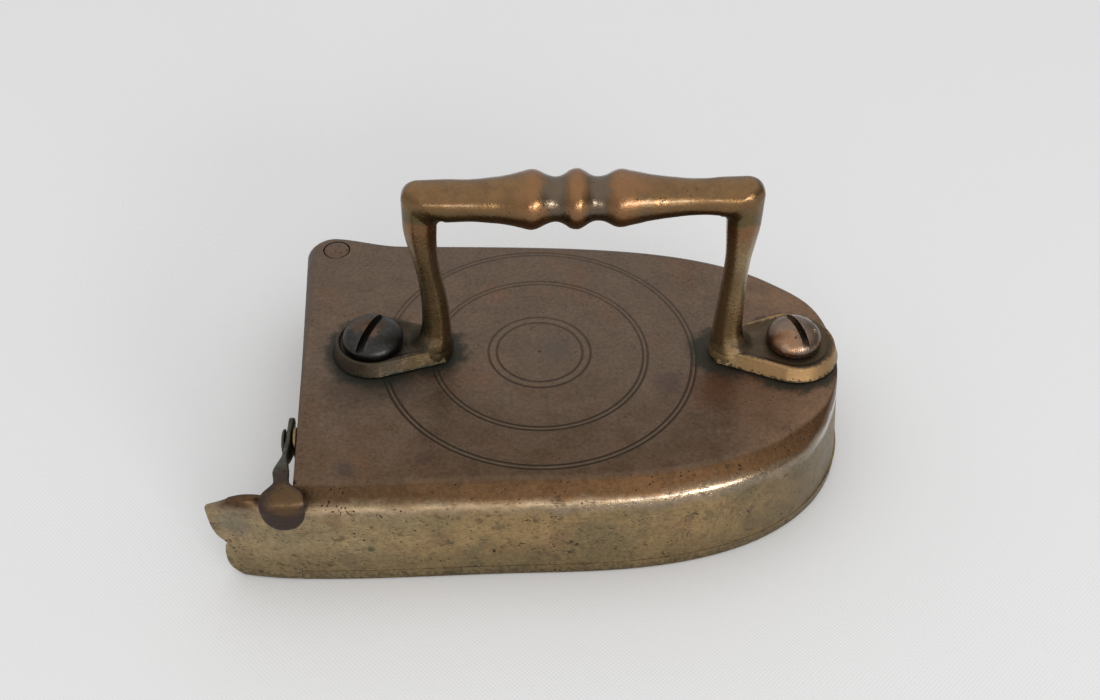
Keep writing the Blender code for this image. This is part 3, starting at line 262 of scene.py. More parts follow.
class Bench:
    """Bench work that every piece shares: making, cutting, easing and finishing meshes."""

    @staticmethod
    def make(name: str, skin: Skin) -> Piece:
        """Object of a closed skin, its faces outwards and its doubled points merged.

        Args:
            name: name of the object.
            skin: its closed surface.

        Returns:
            The object, linked into the scene.
        """
        faces, points = skin.faces()
        mesh = bpy.data.meshes.new(name)
        mesh.from_pydata(points.tolist(), [], faces)
        shape = bmesh.new()
        shape.from_mesh(mesh)
        bmesh.ops.remove_doubles(shape, verts=shape.verts, dist=1e-7)
        bmesh.ops.dissolve_degenerate(shape, edges=shape.edges, dist=1e-7)
        bmesh.ops.recalc_face_normals(shape, faces=shape.faces)
        shape.to_mesh(mesh)
        shape.free()
        return Bench.place(name, mesh)

    @staticmethod
    def place(name: str, data: bpy.types.ID) -> Piece:
        """Object of a mesh, camera or light, linked into the scene.

        Args:
            name: name of the object.
            data: its mesh, camera or light.

        Returns:
            The object.
        """
        made = bpy.data.objects.new(name, data)
        bpy.context.scene.collection.objects.link(made)
        return made

    @staticmethod
    def settle(piece: Piece) -> None:
        """Applies the piece's modifiers to its mesh.

        Args:
            piece: object whose mesh is replaced.
        """
        depsgraph = bpy.context.evaluated_depsgraph_get()
        depsgraph.update()
        mesh = bpy.data.meshes.new_from_object(piece.evaluated_get(depsgraph), preserve_all_data_layers=True,
                                               depsgraph=depsgraph)
        mesh.name = piece.name
        piece.modifiers.clear()
        piece.data = mesh

    @staticmethod
    def work(piece: Piece, tools: Sequence[Piece], cut: Cut) -> None:
        """Cuts the tools away from the piece, or joins them with it, and clears the tools away.

        Args:
            piece: object that is worked on.
            tools: closed objects.
            cut: what the tools do.
        """
        for tool in tools:
            modifier = piece.modifiers.new(tool.name, "BOOLEAN")
            modifier.operation = cut.value
            modifier.solver = "EXACT"
            modifier.object = tool
        Bench.settle(piece)
        for tool in tools:
            bpy.data.objects.remove(tool)

    @staticmethod
    def read(items: bpy.types.bpy_prop_collection, name: str, wide: int, kind: type = float) -> Array:
        """One property of every item of a mesh.

        Args:
            items: the mesh's points, edges, loops or faces.
            name: name of the property.
            wide: how many numbers an item has.
            kind: kind of number.

        Returns:
            Array of (items, wide).
        """
        values = np.empty(len(items) * wide, kind)
        items.foreach_get(name, values)
        return values.reshape(-1, wide)

    @staticmethod
    def ease_edges(piece: Piece, width: float, where: Callable[[Array], Array], sharper: float = 35.0) -> None:
        """Rounds the sharp edges of a piece.

        Args:
            piece: object whose mesh is changed.
            width: width of the rounding.
            where: picks edges by the middle of each, given as (edges, 3).
            sharper: least turn between an edge's two faces, in degrees.
        """
        mesh = piece.data
        edge_of_loop = Bench.read(mesh.loops, "edge_index", 1, np.int32)[:, 0]
        sizes = Bench.read(mesh.polygons, "loop_total", 1, np.int32)[:, 0]
        normals = Bench.read(mesh.polygons, "normal", 3)
        face_of_loop = np.repeat(np.arange(len(sizes)), sizes)
        order = np.argsort(edge_of_loop, kind="stable")
        edges, faces = edge_of_loop[order], face_of_loop[order]
        pair = np.flatnonzero(edges[:-1] == edges[1:])
        turn = (normals[faces[pair]] * normals[faces[pair + 1]]).sum(axis=1)
        weight = np.zeros(len(mesh.edges))
        weight[edges[pair]] = turn < math.cos(math.radians(sharper))
        ends = Bench.read(mesh.edges, "vertices", 2, np.int32)
        weight *= where(Bench.read(mesh.vertices, "co", 3)[ends].mean(axis=1))
        layer = mesh.attributes.new("bevel_weight_edge", "FLOAT", "EDGE")
        layer.data.foreach_set("value", weight.astype(np.float32))
        modifier = piece.modifiers.new("eased_edges", "BEVEL")
        modifier.limit_method = "WEIGHT"
        modifier.width = width
        modifier.segments = 3
        modifier.use_clamp_overlap = True
        Bench.settle(piece)

    @staticmethod
    def finish(piece: Piece, material: Material, body: str, slot: str,
               nodes: Sequence[str], smooth: float = 38.0) -> Piece:
        """Smooths a piece, dresses it and ties it to the frame.

        Args:
            piece: the finished object.
            material: its finish.
            body: frame body that it rides on.
            slot: material slot of the record; not used.
            nodes: frame nodes that it stands for.
            smooth: greatest turn between faces that still look smooth, in degrees.

        Returns:
            The same object.
        """
        piece.data.materials.clear()
        piece.data.materials.append(material)
        piece.data.shade_smooth()
        piece.data.set_sharp_from_angle(angle=math.radians(smooth))
        weighted = piece.modifiers.new("even_shading", "WEIGHTED_NORMAL")
        weighted.keep_sharp = True
        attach(piece, body)
        if nodes:
            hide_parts(*nodes)
        log.info("%s: %d faces, rides on %s", piece.name, len(piece.data.polygons), body)
        return piece


def upright(name: str, plan: Array, low: float, high: float) -> Piece:
    """Upright solid over a plan outline, between two heights."""
    return Bench.make(name, Skin(np.stack([lifted(plan, low), lifted(plan, high)])))


def lofted(name: str, outline: Callable[[float], Array], rows: Profile) -> Piece:
    """Solid whose rows are an outline drawn in by each row's inset, at each row's height."""
    return Bench.make(name, Skin(np.stack([lifted(outline(inset), height) for inset, height in rows])))


def turned_skin(profile: Profile, segments: int = 96, ends: End = End.POINT) -> Skin:
    """Skin of a turned piece: point = (radius·cos t, radius·sin t, height) for each profile point.

    Args:
        profile: (radius, height) pairs.
        segments: points of each loop.
        ends: how both ends close.

    Returns:
        The skin.
    """
    radius, height = np.array(profile, float).T
    turn = circle(segments)
    grid = np.stack([radius[:, None] * np.cos(turn), radius[:, None] * np.sin(turn),
                     np.broadcast_to(height[:, None], (len(height), segments))], axis=-1)
    return Skin(grid, ends, ends)


def rounded_profile(corners: Profile, size: float, steps: int = 5) -> list[Pair]:
    """Profile whose inner corners are rounded by quadratic curves, its first and last points kept.

    Args:
        corners: (radius, height) pairs.
        size: reach of each rounding.
        steps: points of each rounding.

    Returns:
        The (radius, height) pairs of the new profile.
    """
    points = lifted(np.array(corners, float), 0.0)
    curves = corner_curve(points[:-2], points[1:-1], points[2:], size, steps)
    inner = curves.transpose(1, 0, 2).reshape(-1, 3)[:, :2]
    return [tuple(points[0, :2])] + [tuple(point) for point in inner] + [tuple(points[-1, :2])]


def moved(piece: Piece, matrix: Matrix) -> Piece:
    """Moves a piece's mesh by a matrix, so that its object stays at the origin."""
    piece.data.transform(matrix)
    return piece


def turned(name: str, profile: Profile, at: Place, segments: int = 96) -> Piece:
    """Turned piece whose upright axis starts at a place."""
    return moved(Bench.make(name, turned_skin(profile, segments)), Matrix.Translation(at))


# Plan of the body

@dataclass(frozen=True)
class BodyPlan:
    """Outline of the body at the sole and the lines of its walls.

    The near side flares out to the heel, the nose is one superellipse on each side,
    x = reach·sin(t)^(2/nose power), y = half width·cos(t)^(2/shoulder power), and the far heel corner
    is a rounded ear.
    """

    half_width: float = 0.0528
    nose_reach: float = 0.0873
    near_powers: Pair = (3.2, 2.0)
    far_powers: Pair = (3.6, 2.4)
    near_shoulder: float = 0.018
    far_shoulder: float = 0.035
    heel_reach: float = 0.0673
    heel_skew: float = math.radians(5.0)
    near_flare: float = 0.002
    flare_ends: Pair = (0.004, -0.056)
    far_flare: float = 0.0008
    ear_radius: float = 0.009
    ear_inset: float = 0.0007
    ear_length: float = 0.02
    height: float = 0.032
    seat: float = 0.0038
    wall: float = 0.0055
    bevel: float = 0.0055
    ear_bevel: float = 0.0027
    nose_bevel: float = 0.0004
    side_lean: float = 0.0006
    nose_lean: float = 0.004
    top_thickness: float = 0.0034
    pocket_inset: float = 0.0013
    gate_gap: float = 0.0006
    gate_inset: float = 0.0003
    hinge_y: float = 0.0447
    hinge_in_from_heel: float = 0.0098

    def heel_x(self, y: Array) -> Array:
        """X of the askew heel line at a place across the body."""
        return -self.heel_reach - np.asarray(y, float) * math.tan(self.heel_skew)

    @property
    def near_y(self) -> float:
        """Y of the near wall's outside at the heel."""
        return -(self.half_width + self.near_flare)

    @property
    def ear_x(self) -> float:
        """X of the centre that the ear's corner is rounded about."""
        return float(self.heel_x(self.half_width + self.far_flare)) + self.ear_radius + self.ear_inset

    @property
    def hinge(self) -> Pair:
        """Plan place of the hinge's axis."""
        return float(self.heel_x(self.hinge_y)) + self.hinge_in_from_heel, self.hinge_y

    @property
    def beak_radius(self) -> float:
        """Distance of the near wall's outside from the hinge's axis."""
        return self.hinge_y - self.near_y

    @property
    def pocket_radius(self) -> float:
        """Distance from the hinge's axis to the near side of the gate's pocket."""
        return self.beak_radius - self.wall + self.pocket_inset

    def bow(self, side: float, behind: float, powers: Pair) -> Array:
        """Plan points from one shoulder to the nose along that side's superellipse.

        Args:
            side: -1 for the near side, 1 for the far one.
            behind: how far back the shoulder lies.
            powers: nose power and shoulder power.

        Returns:
            The plan points.
        """
        turn = quarter(500)
        across = np.clip(np.cos(turn), 0.0, 1.0)
        across[-1] = 0.0
        return np.stack([-behind + (self.nose_reach + behind) * np.sin(turn) ** (2.0 / powers[0]),
                         side * self.half_width * across ** (2.0 / powers[1])], axis=1)

    def outline(self, pitch: float) -> tuple[Array, Array, Array, Array]:
        """Outline from the near heel corner round the nose to the ear, in even steps.

        Args:
            pitch: length of a step.

        Returns:
            Points, outward directions, nose shares and ear shares.
        """
        share = np.linspace(0.0, 1.0, 200, endpoint=False)
        near_x = blend(float(self.heel_x(self.near_y)), -self.near_shoulder, share)
        near = np.stack([near_x, np.full_like(near_x, -self.half_width)], axis=1)
        near_bow = self.bow(-1.0, self.near_shoulder, self.near_powers)
        for line in (near, near_bow):
            line[:, 1] -= self.near_flare * ease(*self.flare_ends, line[:, 0])
        far_bow = self.bow(1.0, self.far_shoulder, self.far_powers)[-2::-1]
        far_y = self.half_width + self.far_flare
        corner = (self.ear_x, far_y - self.ear_radius)
        far = np.stack([blend(-self.far_shoulder, corner[0], share[1:]),
                        self.half_width + self.far_flare * share[1:] ** 2], axis=1)
        ear = arc(corner, self.ear_radius, math.pi * 0.5, math.pi * 0.5, 60)
        whole = np.concatenate([near, near_bow, far_bow, far, ear])
        points = even_path(whole, pitch)
        along = np.gradient(points, axis=0)
        along /= np.linalg.norm(along, axis=1, keepdims=True)
        outward = np.stack([along[:, 1], -along[:, 0]], axis=1)
        nose = ease(0.62, 0.97, outward[:, 0])
        ear_share = (1.0 - ease(corner[0], corner[0] + self.ear_length, points[:, 0])) * (points[:, 1] > 0.0)
        outward[0] = (0.0, -1.0)
        outward[-1] = (-math.cos(self.heel_skew), -math.sin(self.heel_skew))
        return points, outward, nose, ear_share

    def clamped(self, plan: Array) -> Array:
        """Plan points moved back onto the heel line where they pass it."""
        return np.stack([np.maximum(plan[:, 0], self.heel_x(plan[:, 1])), plan[:, 1]], axis=1)

    def gate_line(self, barrel: float, inward: float) -> tuple[Array, Array, Array]:
        """Far and near plan points of the gate's outer face, moved inwards, and its direction.

        Args:
            barrel: radius of the gate's barrel.
            inward: how far to move inwards.

        Returns:
            Far point, near point and direction.
        """
        far = np.array([self.hinge[0] - barrel, self.hinge_y])
        near_y = self.hinge_y - (self.pocket_radius - self.gate_gap)
        near = np.array([float(self.heel_x(near_y)) + self.gate_inset, near_y])
        along = (near - far) / np.linalg.norm(near - far)
        inside = np.array([-along[1], along[0]])
        return far + inside * inward, near + inside * inward, along

    def on_line(self, start: Array, along: Array, radius: float) -> Array:
        """Point of a plan line at a distance from the hinge's axis.

        Args:
            start: a point of the line.
            along: the line's direction.
            radius: distance from the axis.

        Returns:
            The plan point.
        """
        offset = start - np.array(self.hinge)
        middle = float(offset @ along)
        return start + along * (-middle + math.sqrt(middle * middle - float(offset @ offset) + radius * radius))


# Sub-assemblies

@dataclass
class Shell:
    """Cast cover: flat top, bevelled edge, side walls that meet at the nose, and the guide beak."""

    plan: BodyPlan
    pitch: float = 0.0014
    crease_round: float = 0.0028
    top_round: float = 0.0014
    heel_edge: float = 0.00035
    overrun: float = 0.01
    barrel: float = 0.006
    pocket_depth: float = 0.0044
    pin_hole: float = 0.0027
    pin_sink: float = 0.0041
    pin_floor: float = 0.0308
    screw_hole: float = 0.0039
    screws: Pair = SCREWS
    beak_reach: float = 0.02316
    beak_gap: float = 0.0001
    beak_root: float = 0.0045
    beak_thick: float = 0.004
    beak_thin: float = 0.0021
    beak_sink: float = 0.00005
    beak_edge: float = 0.001
    beak_foot: float = 0.0006
    beak_crease: float = 0.0011
    beak_cap: float = 0.78
    beak_bulge: float = 0.6
    edge_line: Line = (
        (0.000, 0.500), (0.013, 0.670), (0.045, 0.760), (0.090, 0.825), (0.165, 0.860), (0.260, 0.862),
        (0.337, 0.850), (0.390, 0.828), (0.425, 0.862), (0.470, 0.921), (0.530, 0.956), (0.600, 0.980),
        (0.690, 0.993), (0.780, 1.000), (0.850, 0.985), (0.900, 0.945), (0.950, 0.870), (1.000, 0.740))
    top_line: Line = (
        (-0.30, 0.895), (0.00, 0.905), (0.25, 0.910), (0.45, 0.932), (0.58, 0.933), (0.70, 0.910),
        (0.87, 0.868), (1.0, 0.835))

    def leans(self, nose: Array, ear: Array) -> tuple[Array, Array]:
        """Width of the bevel and lean of the wall at each station.

        Args:
            nose: share of the nose at each station.
            ear: share of the ear at each station.

        Returns:
            Widths and leans.
        """
        plan = self.plan
        bevel = blend(blend(plan.bevel, plan.ear_bevel, ear), plan.nose_bevel, nose)
        return bevel, blend(plan.side_lean, plan.nose_lean, nose)

    def body(self) -> Piece:
        """Outside of the cover, lofted from stations round the outline.

        Each column runs from the seat straight up to the crease, round it, over the bevel and round the
        edge of the top, every point set in from the outline by the lean and bevel at its station.

        Returns:
            The solid block before it is hollowed.
        """
        plan = self.plan
        points, outward, nose, ear = plan.outline(self.pitch)
        bevel, lean = self.leans(nose, ear)
        sole = lifted(points, 0.0)
        crease = lifted(plan.clamped(points - outward * lean[:, None]), plan.height - bevel)
        top = lifted(plan.clamped(points - outward * (bevel + lean)[:, None]), plan.height)
        inner = top - lifted(outward, 0.0) * plan.bevel
        seat = blend(sole, crease, (plan.seat / crease[:, 2])[:, None])
        wall = blend(seat, crease, np.array([0.0, 0.3, 0.6, 0.85])[:, None, None])
        grid = np.concatenate([wall, corner_curve(seat, crease, top, self.crease_round, 9),
                               corner_curve(crease, top, inner, self.top_round, 7)])
        block = Bench.make("shell", Skin(grid))
        Bench.ease_edges(block, self.heel_edge, lambda middle: middle[:, 2] > plan.seat + 1e-4, 50.0)
        return block

    def chamber(self) -> Piece:
        """Hollow inside the walls, run out past the heel and below the seat.

        Returns:
            The tool.
        """
        plan = self.plan
        points, outward, nose, ear = plan.outline(self.pitch)
        _, lean = self.leans(nose, ear)
        inner = points - outward * plan.wall
        kept = (inner[:, 0] > plan.heel_x(inner[:, 1]) + self.heel_edge) & (points[:, 0] > plan.ear_x)
        out = -plan.heel_reach - self.overrun - plan.ear_length
        loops = []
        for height in (plan.seat - self.overrun, plan.height - plan.top_thickness):
            line = (points - outward * (plan.wall + lean * height / plan.height)[:, None])[kept]
            loops.append(lifted(np.vstack([[out, line[0, 1]], line, [out, line[-1, 1]]]), height))
        return Bench.make("chamber", Skin(np.stack(loops)))

    def pocket(self) -> Piece:
        """Room for the gate between the plates; the step behind it is the gate's stop.

        Returns:
            The tool.
        """
        plan = self.plan
        start, _, along = plan.gate_line(self.barrel, self.pocket_depth)
        corner = plan.on_line(start, along, plan.pocket_radius)
        room = self.barrel + 0.0004
        out = -plan.heel_reach - self.overrun - plan.ear_length
        hinge = plan.hinge
        first = math.atan2(corner[1] - hinge[1], corner[0] - hinge[0])
        last = math.asin((out - hinge[0]) / plan.pocket_radius) - math.pi * 0.5
        back = start + along * room
        far = plan.half_width + self.overrun
        plain = [[out, hinge[1]], [out, far], [hinge[0] + room, far], [hinge[0] + room, back[1]], back]
        outline = np.vstack([arc(hinge, plan.pocket_radius, first, last - first, 40), plain])
        return upright("pocket", outline, plan.seat - self.overrun, plan.height - plan.top_thickness + 0.0002)

    def beak(self) -> Piece:
        """Leaf that carries the near wall on past the heel, bent round the hinge's axis.

        A point at (share of height, place x, side) lies on an arc about the hinge, its turn the arcsine
        of x over the arc's radius. Its radius is the leaf's middle plus side times half its thickness,
        where side goes from 1 outside to −1 inside by a superellipse round the edge and over the top.

        Returns:
            The closed leaf, its root inside the wall.
        """
        plan = self.plan
        heel = float(plan.heel_x(plan.near_y))
        radius = plan.beak_radius - self.beak_sink
        share = np.concatenate([np.linspace(0.0, 0.165, 26), np.linspace(0.165, 0.34, 8)[1:],
                                np.linspace(0.34, 0.5, 22)[1:], np.linspace(0.5, 1.0, 26)[1:]])
        ramp = (plan.seat + 0.0003) / plan.height
        buried = ease(ramp, ramp + 0.03, share)[:, None]
        root_out = blend(heel - self.beak_gap, heel + self.beak_root, buried)
        heel_in = float(plan.heel_x(plan.near_y + self.beak_thick))
        root_in = blend(heel_in - self.beak_gap, heel + self.beak_root, buried)
        edge = (heel - self.beak_reach * through(self.edge_line, share))[:, None]
        turn = np.linspace(0.0, math.pi, 13)
        bend = np.sin(turn) ** self.beak_bulge
        run = np.linspace(0.0, 1.0, 42)[:-1]
        x = np.concatenate([blend(root_out, edge + self.beak_edge, run), edge + self.beak_edge * (1.0 - bend),
                            blend(root_in, edge + self.beak_edge, run[::-1])], axis=1)
        edge_side = np.sign(np.cos(turn)) * np.abs(np.cos(turn)) ** self.beak_bulge
        side = np.concatenate([np.ones(len(run)), edge_side, -np.ones(len(run))])
        reach = (heel - x) / self.beak_reach
        top = through(self.top_line, reach) - self.beak_edge * 0.5 / plan.height
        above = np.clip(share - self.beak_cap, 0.0, None)[:, None] / (1.0 - self.beak_cap)
        held = np.minimum(share, self.beak_cap)[:, None] + above * (top - self.beak_cap)
        height = np.maximum(self.beak_foot, plan.height * held)
        over = quarter(7)[1:, None]
        height = np.concatenate([height, height[-1] + self.beak_edge * 0.5 * np.sin(over) ** self.beak_bulge])
        x = np.concatenate([x, np.repeat(x[-1:], len(over), axis=0)])
        reach = (heel - x) / self.beak_reach
        narrow = np.concatenate([np.ones(len(share)), np.abs(np.cos(over[:, 0])) ** self.beak_bulge])[:, None]
        crease = plan.height * blend(0.83, 1.0, ease(0.3, 0.7, reach))
        slope = height - crease
        bevel = 0.5 * (slope + np.sqrt(slope * slope + self.beak_crease**2)) - 0.0001
        bevel = np.clip(bevel, 0.0, self.beak_thick * 0.62)
        lean = plan.side_lean * np.minimum(1.0, height / (plan.height - plan.bevel))
        thick = blend(self.beak_thick, self.beak_thin, ease(0.3, 1.0, reach))
        outer, inner = radius - lean - bevel, radius - thick
        away = (outer + inner) * 0.5 + (outer - inner) * 0.5 * side * narrow
        swing = np.arcsin((x - plan.hinge[0]) / plan.beak_radius)
        grid = np.stack([plan.hinge[0] + away * np.sin(swing), plan.hinge[1] - away * np.cos(swing), height],
                        axis=-1)
        return Bench.make("beak", Skin(grid, End.FLAT, End.SEAM))

    def build(self, brass: Material) -> Piece:
        """Hollows and bores the block, joins the beak and dresses the cover.

        Args:
            brass: its finish.

        Returns:
            The dressed cover.
        """
        plan = self.plan
        shell = self.body()
        under, over = plan.height - plan.top_thickness - self.overrun, plan.height + self.overrun
        tools = [self.chamber(), self.pocket(),
                 upright("pin_hole", ring_plan(plan.hinge, self.pin_hole), under, over),
                 upright("pin_sink", ring_plan(plan.hinge, self.pin_sink), self.pin_floor, over)]
        for x in self.screws:
            tools.append(upright("screw_hole", ring_plan((x, 0.0), self.screw_hole, 48), under, over))
        for tool in tools:
            Bench.work(shell, [tool], Cut.AWAY)
        Bench.work(shell, [self.beak()], Cut.WITH)
        return Bench.finish(shell, brass, "casing", "aged_brass", ["shell"])


@dataclass
class Sole:
    """Flat sole with an eased lower edge and two ribs that carry the slug."""

    plan: BodyPlan
    top: float = 0.00378
    edge: float = 0.0008
    rib_top: float = 0.005
    rib_half: float = 0.0015
    rib_spacing: float = 0.024
    rib_ends: Pair = (-0.04, 0.048)
    pin_hole: float = 0.0027
    pitch: float = 0.0016

    def build(self, brass: Material) -> Piece:
        """Lofts the sole: loops drawn in by edge·(1 − sin t) at heights edge·(1 − cos t), then the top.

        Args:
            brass: its finish.

        Returns:
            The dressed sole.
        """
        points, outward, _, _ = self.plan.outline(self.pitch)
        rows = [*eased_rows(self.edge, 0.0, self.top, 6)[:6], (0.0, self.top)]
        sole = lofted("sole_plate", lambda inset: self.plan.clamped(points - outward * inset), rows)
        for side in (-1.0, 1.0):
            rib = box_plan(*self.rib_ends, side * self.rib_spacing, self.rib_half)
            Bench.work(sole, [upright("rib", rib, self.top * 0.5, self.rib_top)], Cut.WITH)
        Bench.work(sole, [upright("hole", ring_plan(self.plan.hinge, self.pin_hole), -0.01, 0.01)], Cut.AWAY)
        return Bench.finish(sole, brass, "casing", "aged_brass", ["sole_plate"])


@dataclass
class Gate:
    """Plate that closes the heel, its round barrel, and the pin that it turns on."""

    plan: BodyPlan
    low: float = 0.0042
    high: float = 0.0282
    thick: float = 0.004
    edge: float = 0.0006
    barrel: float = 0.006
    bore: float = 0.0028
    pin_radius: float = 0.0024
    pin_head: float = 0.0038
    pin_depth: float = 0.0013
    pin_proud: float = 0.0004

    def plate(self, shrink: float) -> Array:
        """Outline of the plate drawn in all round, its end true to the hinge's axis.

        Args:
            shrink: how far to draw it in.

        Returns:
            The plan points.
        """
        plan = self.plan
        end_radius = plan.pocket_radius - plan.gate_gap - shrink
        outer, _, along = plan.gate_line(self.barrel, shrink)
        inner, _, _ = plan.gate_line(self.barrel, self.thick - shrink)
        ends = [plan.on_line(outer, along, end_radius), plan.on_line(inner, along, end_radius)]
        turns = [math.atan2(end[1] - plan.hinge[1], end[0] - plan.hinge[0]) for end in ends]
        return np.vstack([outer + along * self.barrel * 0.3,
                          arc(plan.hinge, end_radius, turns[0], turns[1] - turns[0], 7),
                          inner + along * self.barrel * 0.6])

    def build(self, brass: Material, rivet_hole: Piece) -> Piece:
        """Lofts the plate with eased edges, joins the barrel, bores both and dresses the gate.

        Args:
            brass: its finish.
            rivet_hole: tool for the hole of the latch's rivet.

        Returns:
            The dressed gate.
        """
        gate = lofted("gate", self.plate, eased_rows(self.edge, self.low, self.high, 5))
        profile = rounded_profile([(0.0, self.low), (self.barrel, self.low), (self.barrel, self.high),
                                   (0.0, self.high)], self.edge)
        Bench.work(gate, [turned("barrel", profile, (*self.plan.hinge, 0.0))], Cut.WITH)
        bore = upright("bore", ring_plan(self.plan.hinge, self.bore), self.low - 0.01, self.high + 0.01)
        Bench.work(gate, [bore, rivet_hole], Cut.AWAY)
        return Bench.finish(gate, brass, "gate", "aged_brass", ["gate"])

    def pin(self, brass: Material) -> Piece:
        """Turns the hinge pin, whose low domed head sits in the corner of the top.

        Args:
            brass: its finish.

        Returns:
            The dressed pin.
        """
        top = self.plan.height + self.pin_proud
        neck = top - self.pin_depth
        profile = rounded_profile([(0.0, 0.0003), (self.pin_radius, 0.0003), (self.pin_radius, neck),
                                   (self.pin_head, neck), (self.pin_head, top - self.pin_proud),
                                   (self.pin_head * 0.75, top - self.pin_proud * 0.2), (0.0, top)], 0.0003)
        pin = turned("hinge_pin", profile, (*self.plan.hinge, 0.0))
        return Bench.finish(pin, brass, "casing", "aged_brass", ["hinge_pin"])


@dataclass
class Handle:
    """Handle cast in one: two dished feet, two faceted posts and a bar with three beads."""

    base: float = 0.0323
    axis: float = 0.08399
    rise: float = 0.002
    posts: Pair = POSTS
    leans: Pair = (0.0028, 0.0002)
    screws: Pair = SCREWS
    foot_radii: Pair = (0.0115, 0.0129)
    foot_thick: float = 0.0042
    foot_edge: float = 0.0006
    foot_slope: float = 0.0012
    foot_neck: float = 0.006
    dish_start: float = 0.0004
    dish_run: float = 0.0016
    dish_depths: Pair = (0.0007, 0.0005)
    seat_radii: Pair = (0.0092, 0.0084)
    seat_depths: Pair = (0.001, 0.0004)
    bore: float = 0.0039
    fillet: float = 0.005
    fillet_rise: float = 0.0085
    bar_end: float = 0.0051
    bead: float = 0.0077
    half_width: float = 0.0044
    half_depth: float = 0.0042
    outer_round: float = 0.004
    inner_round: float = 0.0022
    chamfer: float = 0.55
    corner_power: float = 16.0
    end_square: float = 0.45
    width_line: Line = (
        (0.04, 1.00), (0.10, 0.93), (0.20, 0.90), (0.34, 0.83), (0.50, 0.75), (0.60, 0.71), (0.74, 0.74),
        (0.86, 0.86), (0.94, 0.95), (1.0, 1.0))
    depth_line: Line = (
        (0.00, 1.44), (0.05, 1.40), (0.10, 1.25), (0.20, 1.01), (0.40, 0.85), (0.55, 0.80), (0.80, 0.90),
        (1.0, 1.0))
    bar_line: Line = (
        (0.000, 0.700), (0.080, 0.690), (0.120, 0.708), (0.160, 0.745), (0.200, 0.780), (0.240, 0.845),
        (0.275, 0.920), (0.300, 0.980), (0.315, 0.995), (0.330, 0.975), (0.347, 0.912), (0.365, 0.832),
        (0.383, 0.769), (0.400, 0.741), (0.418, 0.766), (0.436, 0.845), (0.454, 0.953), (0.474, 1.000),
        (0.490, 0.984), (0.508, 0.901), (0.525, 0.803), (0.543, 0.738), (0.561, 0.733), (0.579, 0.761),
        (0.597, 0.834), (0.615, 0.915), (0.633, 0.954), (0.650, 0.948), (0.668, 0.909), (0.704, 0.843),
        (0.740, 0.772), (0.793, 0.702), (0.830, 0.664), (0.880, 0.617), (0.930, 0.598), (0.960, 0.601),
        (1.0, 0.63))

    def sections(self, outer: Array, inner: Array, depth: Array, square: Array, count: int = 48) -> Array:
        """Loops between outer and inner points, from round to an eight-sided bar with soft edges.

        A point at turn t lies at reach·(half·cos t, depth·sin t) from the middle, where reach is 1 on a
        round section and the soft minimum of the square's and the chamfer's distance on a square one.

        Args:
            outer: outer points, (stations, 3).
            inner: inner points, (stations, 3).
            depth: half depth across the handle.
            square: 0 for round to 1 for eight-sided.
            count: points of a loop.

        Returns:
            Array of (stations, count, 3).
        """
        turn = circle(count)
        along, across = np.cos(turn), np.sin(turn)
        soft = self.corner_power
        cut = (np.abs(along) + np.abs(across)) / (2.0 - self.chamfer)
        flat = (np.abs(along) ** soft + np.abs(across) ** soft + cut**soft) ** (-1.0 / soft)
        reach = blend(1.0, flat[None], square[:, None])
        middle, half = (outer + inner) * 0.5, (outer - inner) * 0.5
        loops = middle[:, None] + half[:, None] * (along * reach)[..., None]
        loops[..., 1] += depth[:, None] * across * reach
        return loops

    def post(self, x: float, side: float, lean: float, axis: float) -> Stations:
        """Stations of a post, its screw side swept out into the foot by a quarter ellipse.

        Args:
            x: place of the post along the iron.
            side: -1 for the rear post, 1 for the front one.
            lean: how far its top leans out.
            axis: height of the bar's axis above it.

        Returns:
            Its stations.
        """
        top = axis - self.bar_end - self.inner_round
        share = np.concatenate([np.linspace(0.02, 0.25, 40), np.linspace(0.25, 1.0, 44)[1:]])
        height = blend(self.base, top, share)
        half = self.half_width * through(self.width_line, share)
        floor = self.base + self.foot_thick - self.dish_depths[0]
        rise = np.clip((height - floor) / self.fillet_rise, 0.0, 1.0)
        sweep = self.fillet * (1.0 - np.sqrt(np.clip(1.0 - (1.0 - rise) ** 2, 0.0, 1.0)))
        centre = x + side * lean * ease(0.3, 1.0, share)
        return (midline(centre + side * (half + sweep), height), midline(centre - side * half, height),
                self.half_depth * through(self.depth_line, share), np.ones_like(share))

    def corner(self, post: Stations, side: float, axis: float) -> Stations:
        """Stations round the corner from a post's top to the bar, on two quarter circles.

        Args:
            post: the post's stations.
            side: -1 for the rear post, 1 for the front one.
            axis: height of the bar's axis above it.

        Returns:
            Its stations.
        """
        share = np.linspace(0.0, 1.0, 18)[1:]
        turn = share * math.pi * 0.5
        lines = [midline(edge - side * size * (1.0 - np.cos(turn)), height - size * (1.0 - np.sin(turn)))
                 for edge, size, height in ((post[0][-1, 0], self.outer_round, axis + self.bar_end),
                                            (post[1][-1, 0], self.inner_round, axis - self.bar_end))]
        return *lines, blend(self.half_depth, self.bar_end, share), blend(1.0, self.end_square, share)

    def bar(self, rear: Stations, front: Stations) -> Stations:
        """Stations along the bar, whose radius follows the beads' line.

        Args:
            rear: stations of the rear corner.
            front: stations of the front corner.

        Returns:
            Its stations.
        """
        share = np.linspace(0.0, 1.0, 230)[1:-1]
        x = blend(rear[1][-1, 0], front[1][-1, 0], share)
        height = self.axis + self.rise * share
        radius = self.bead * through(self.bar_line, share)
        square = self.end_square * (1.0 - ease(0.0, 0.14, np.minimum(share, 1.0 - share)))
        return midline(x, height + radius), midline(x, height - radius), radius, square

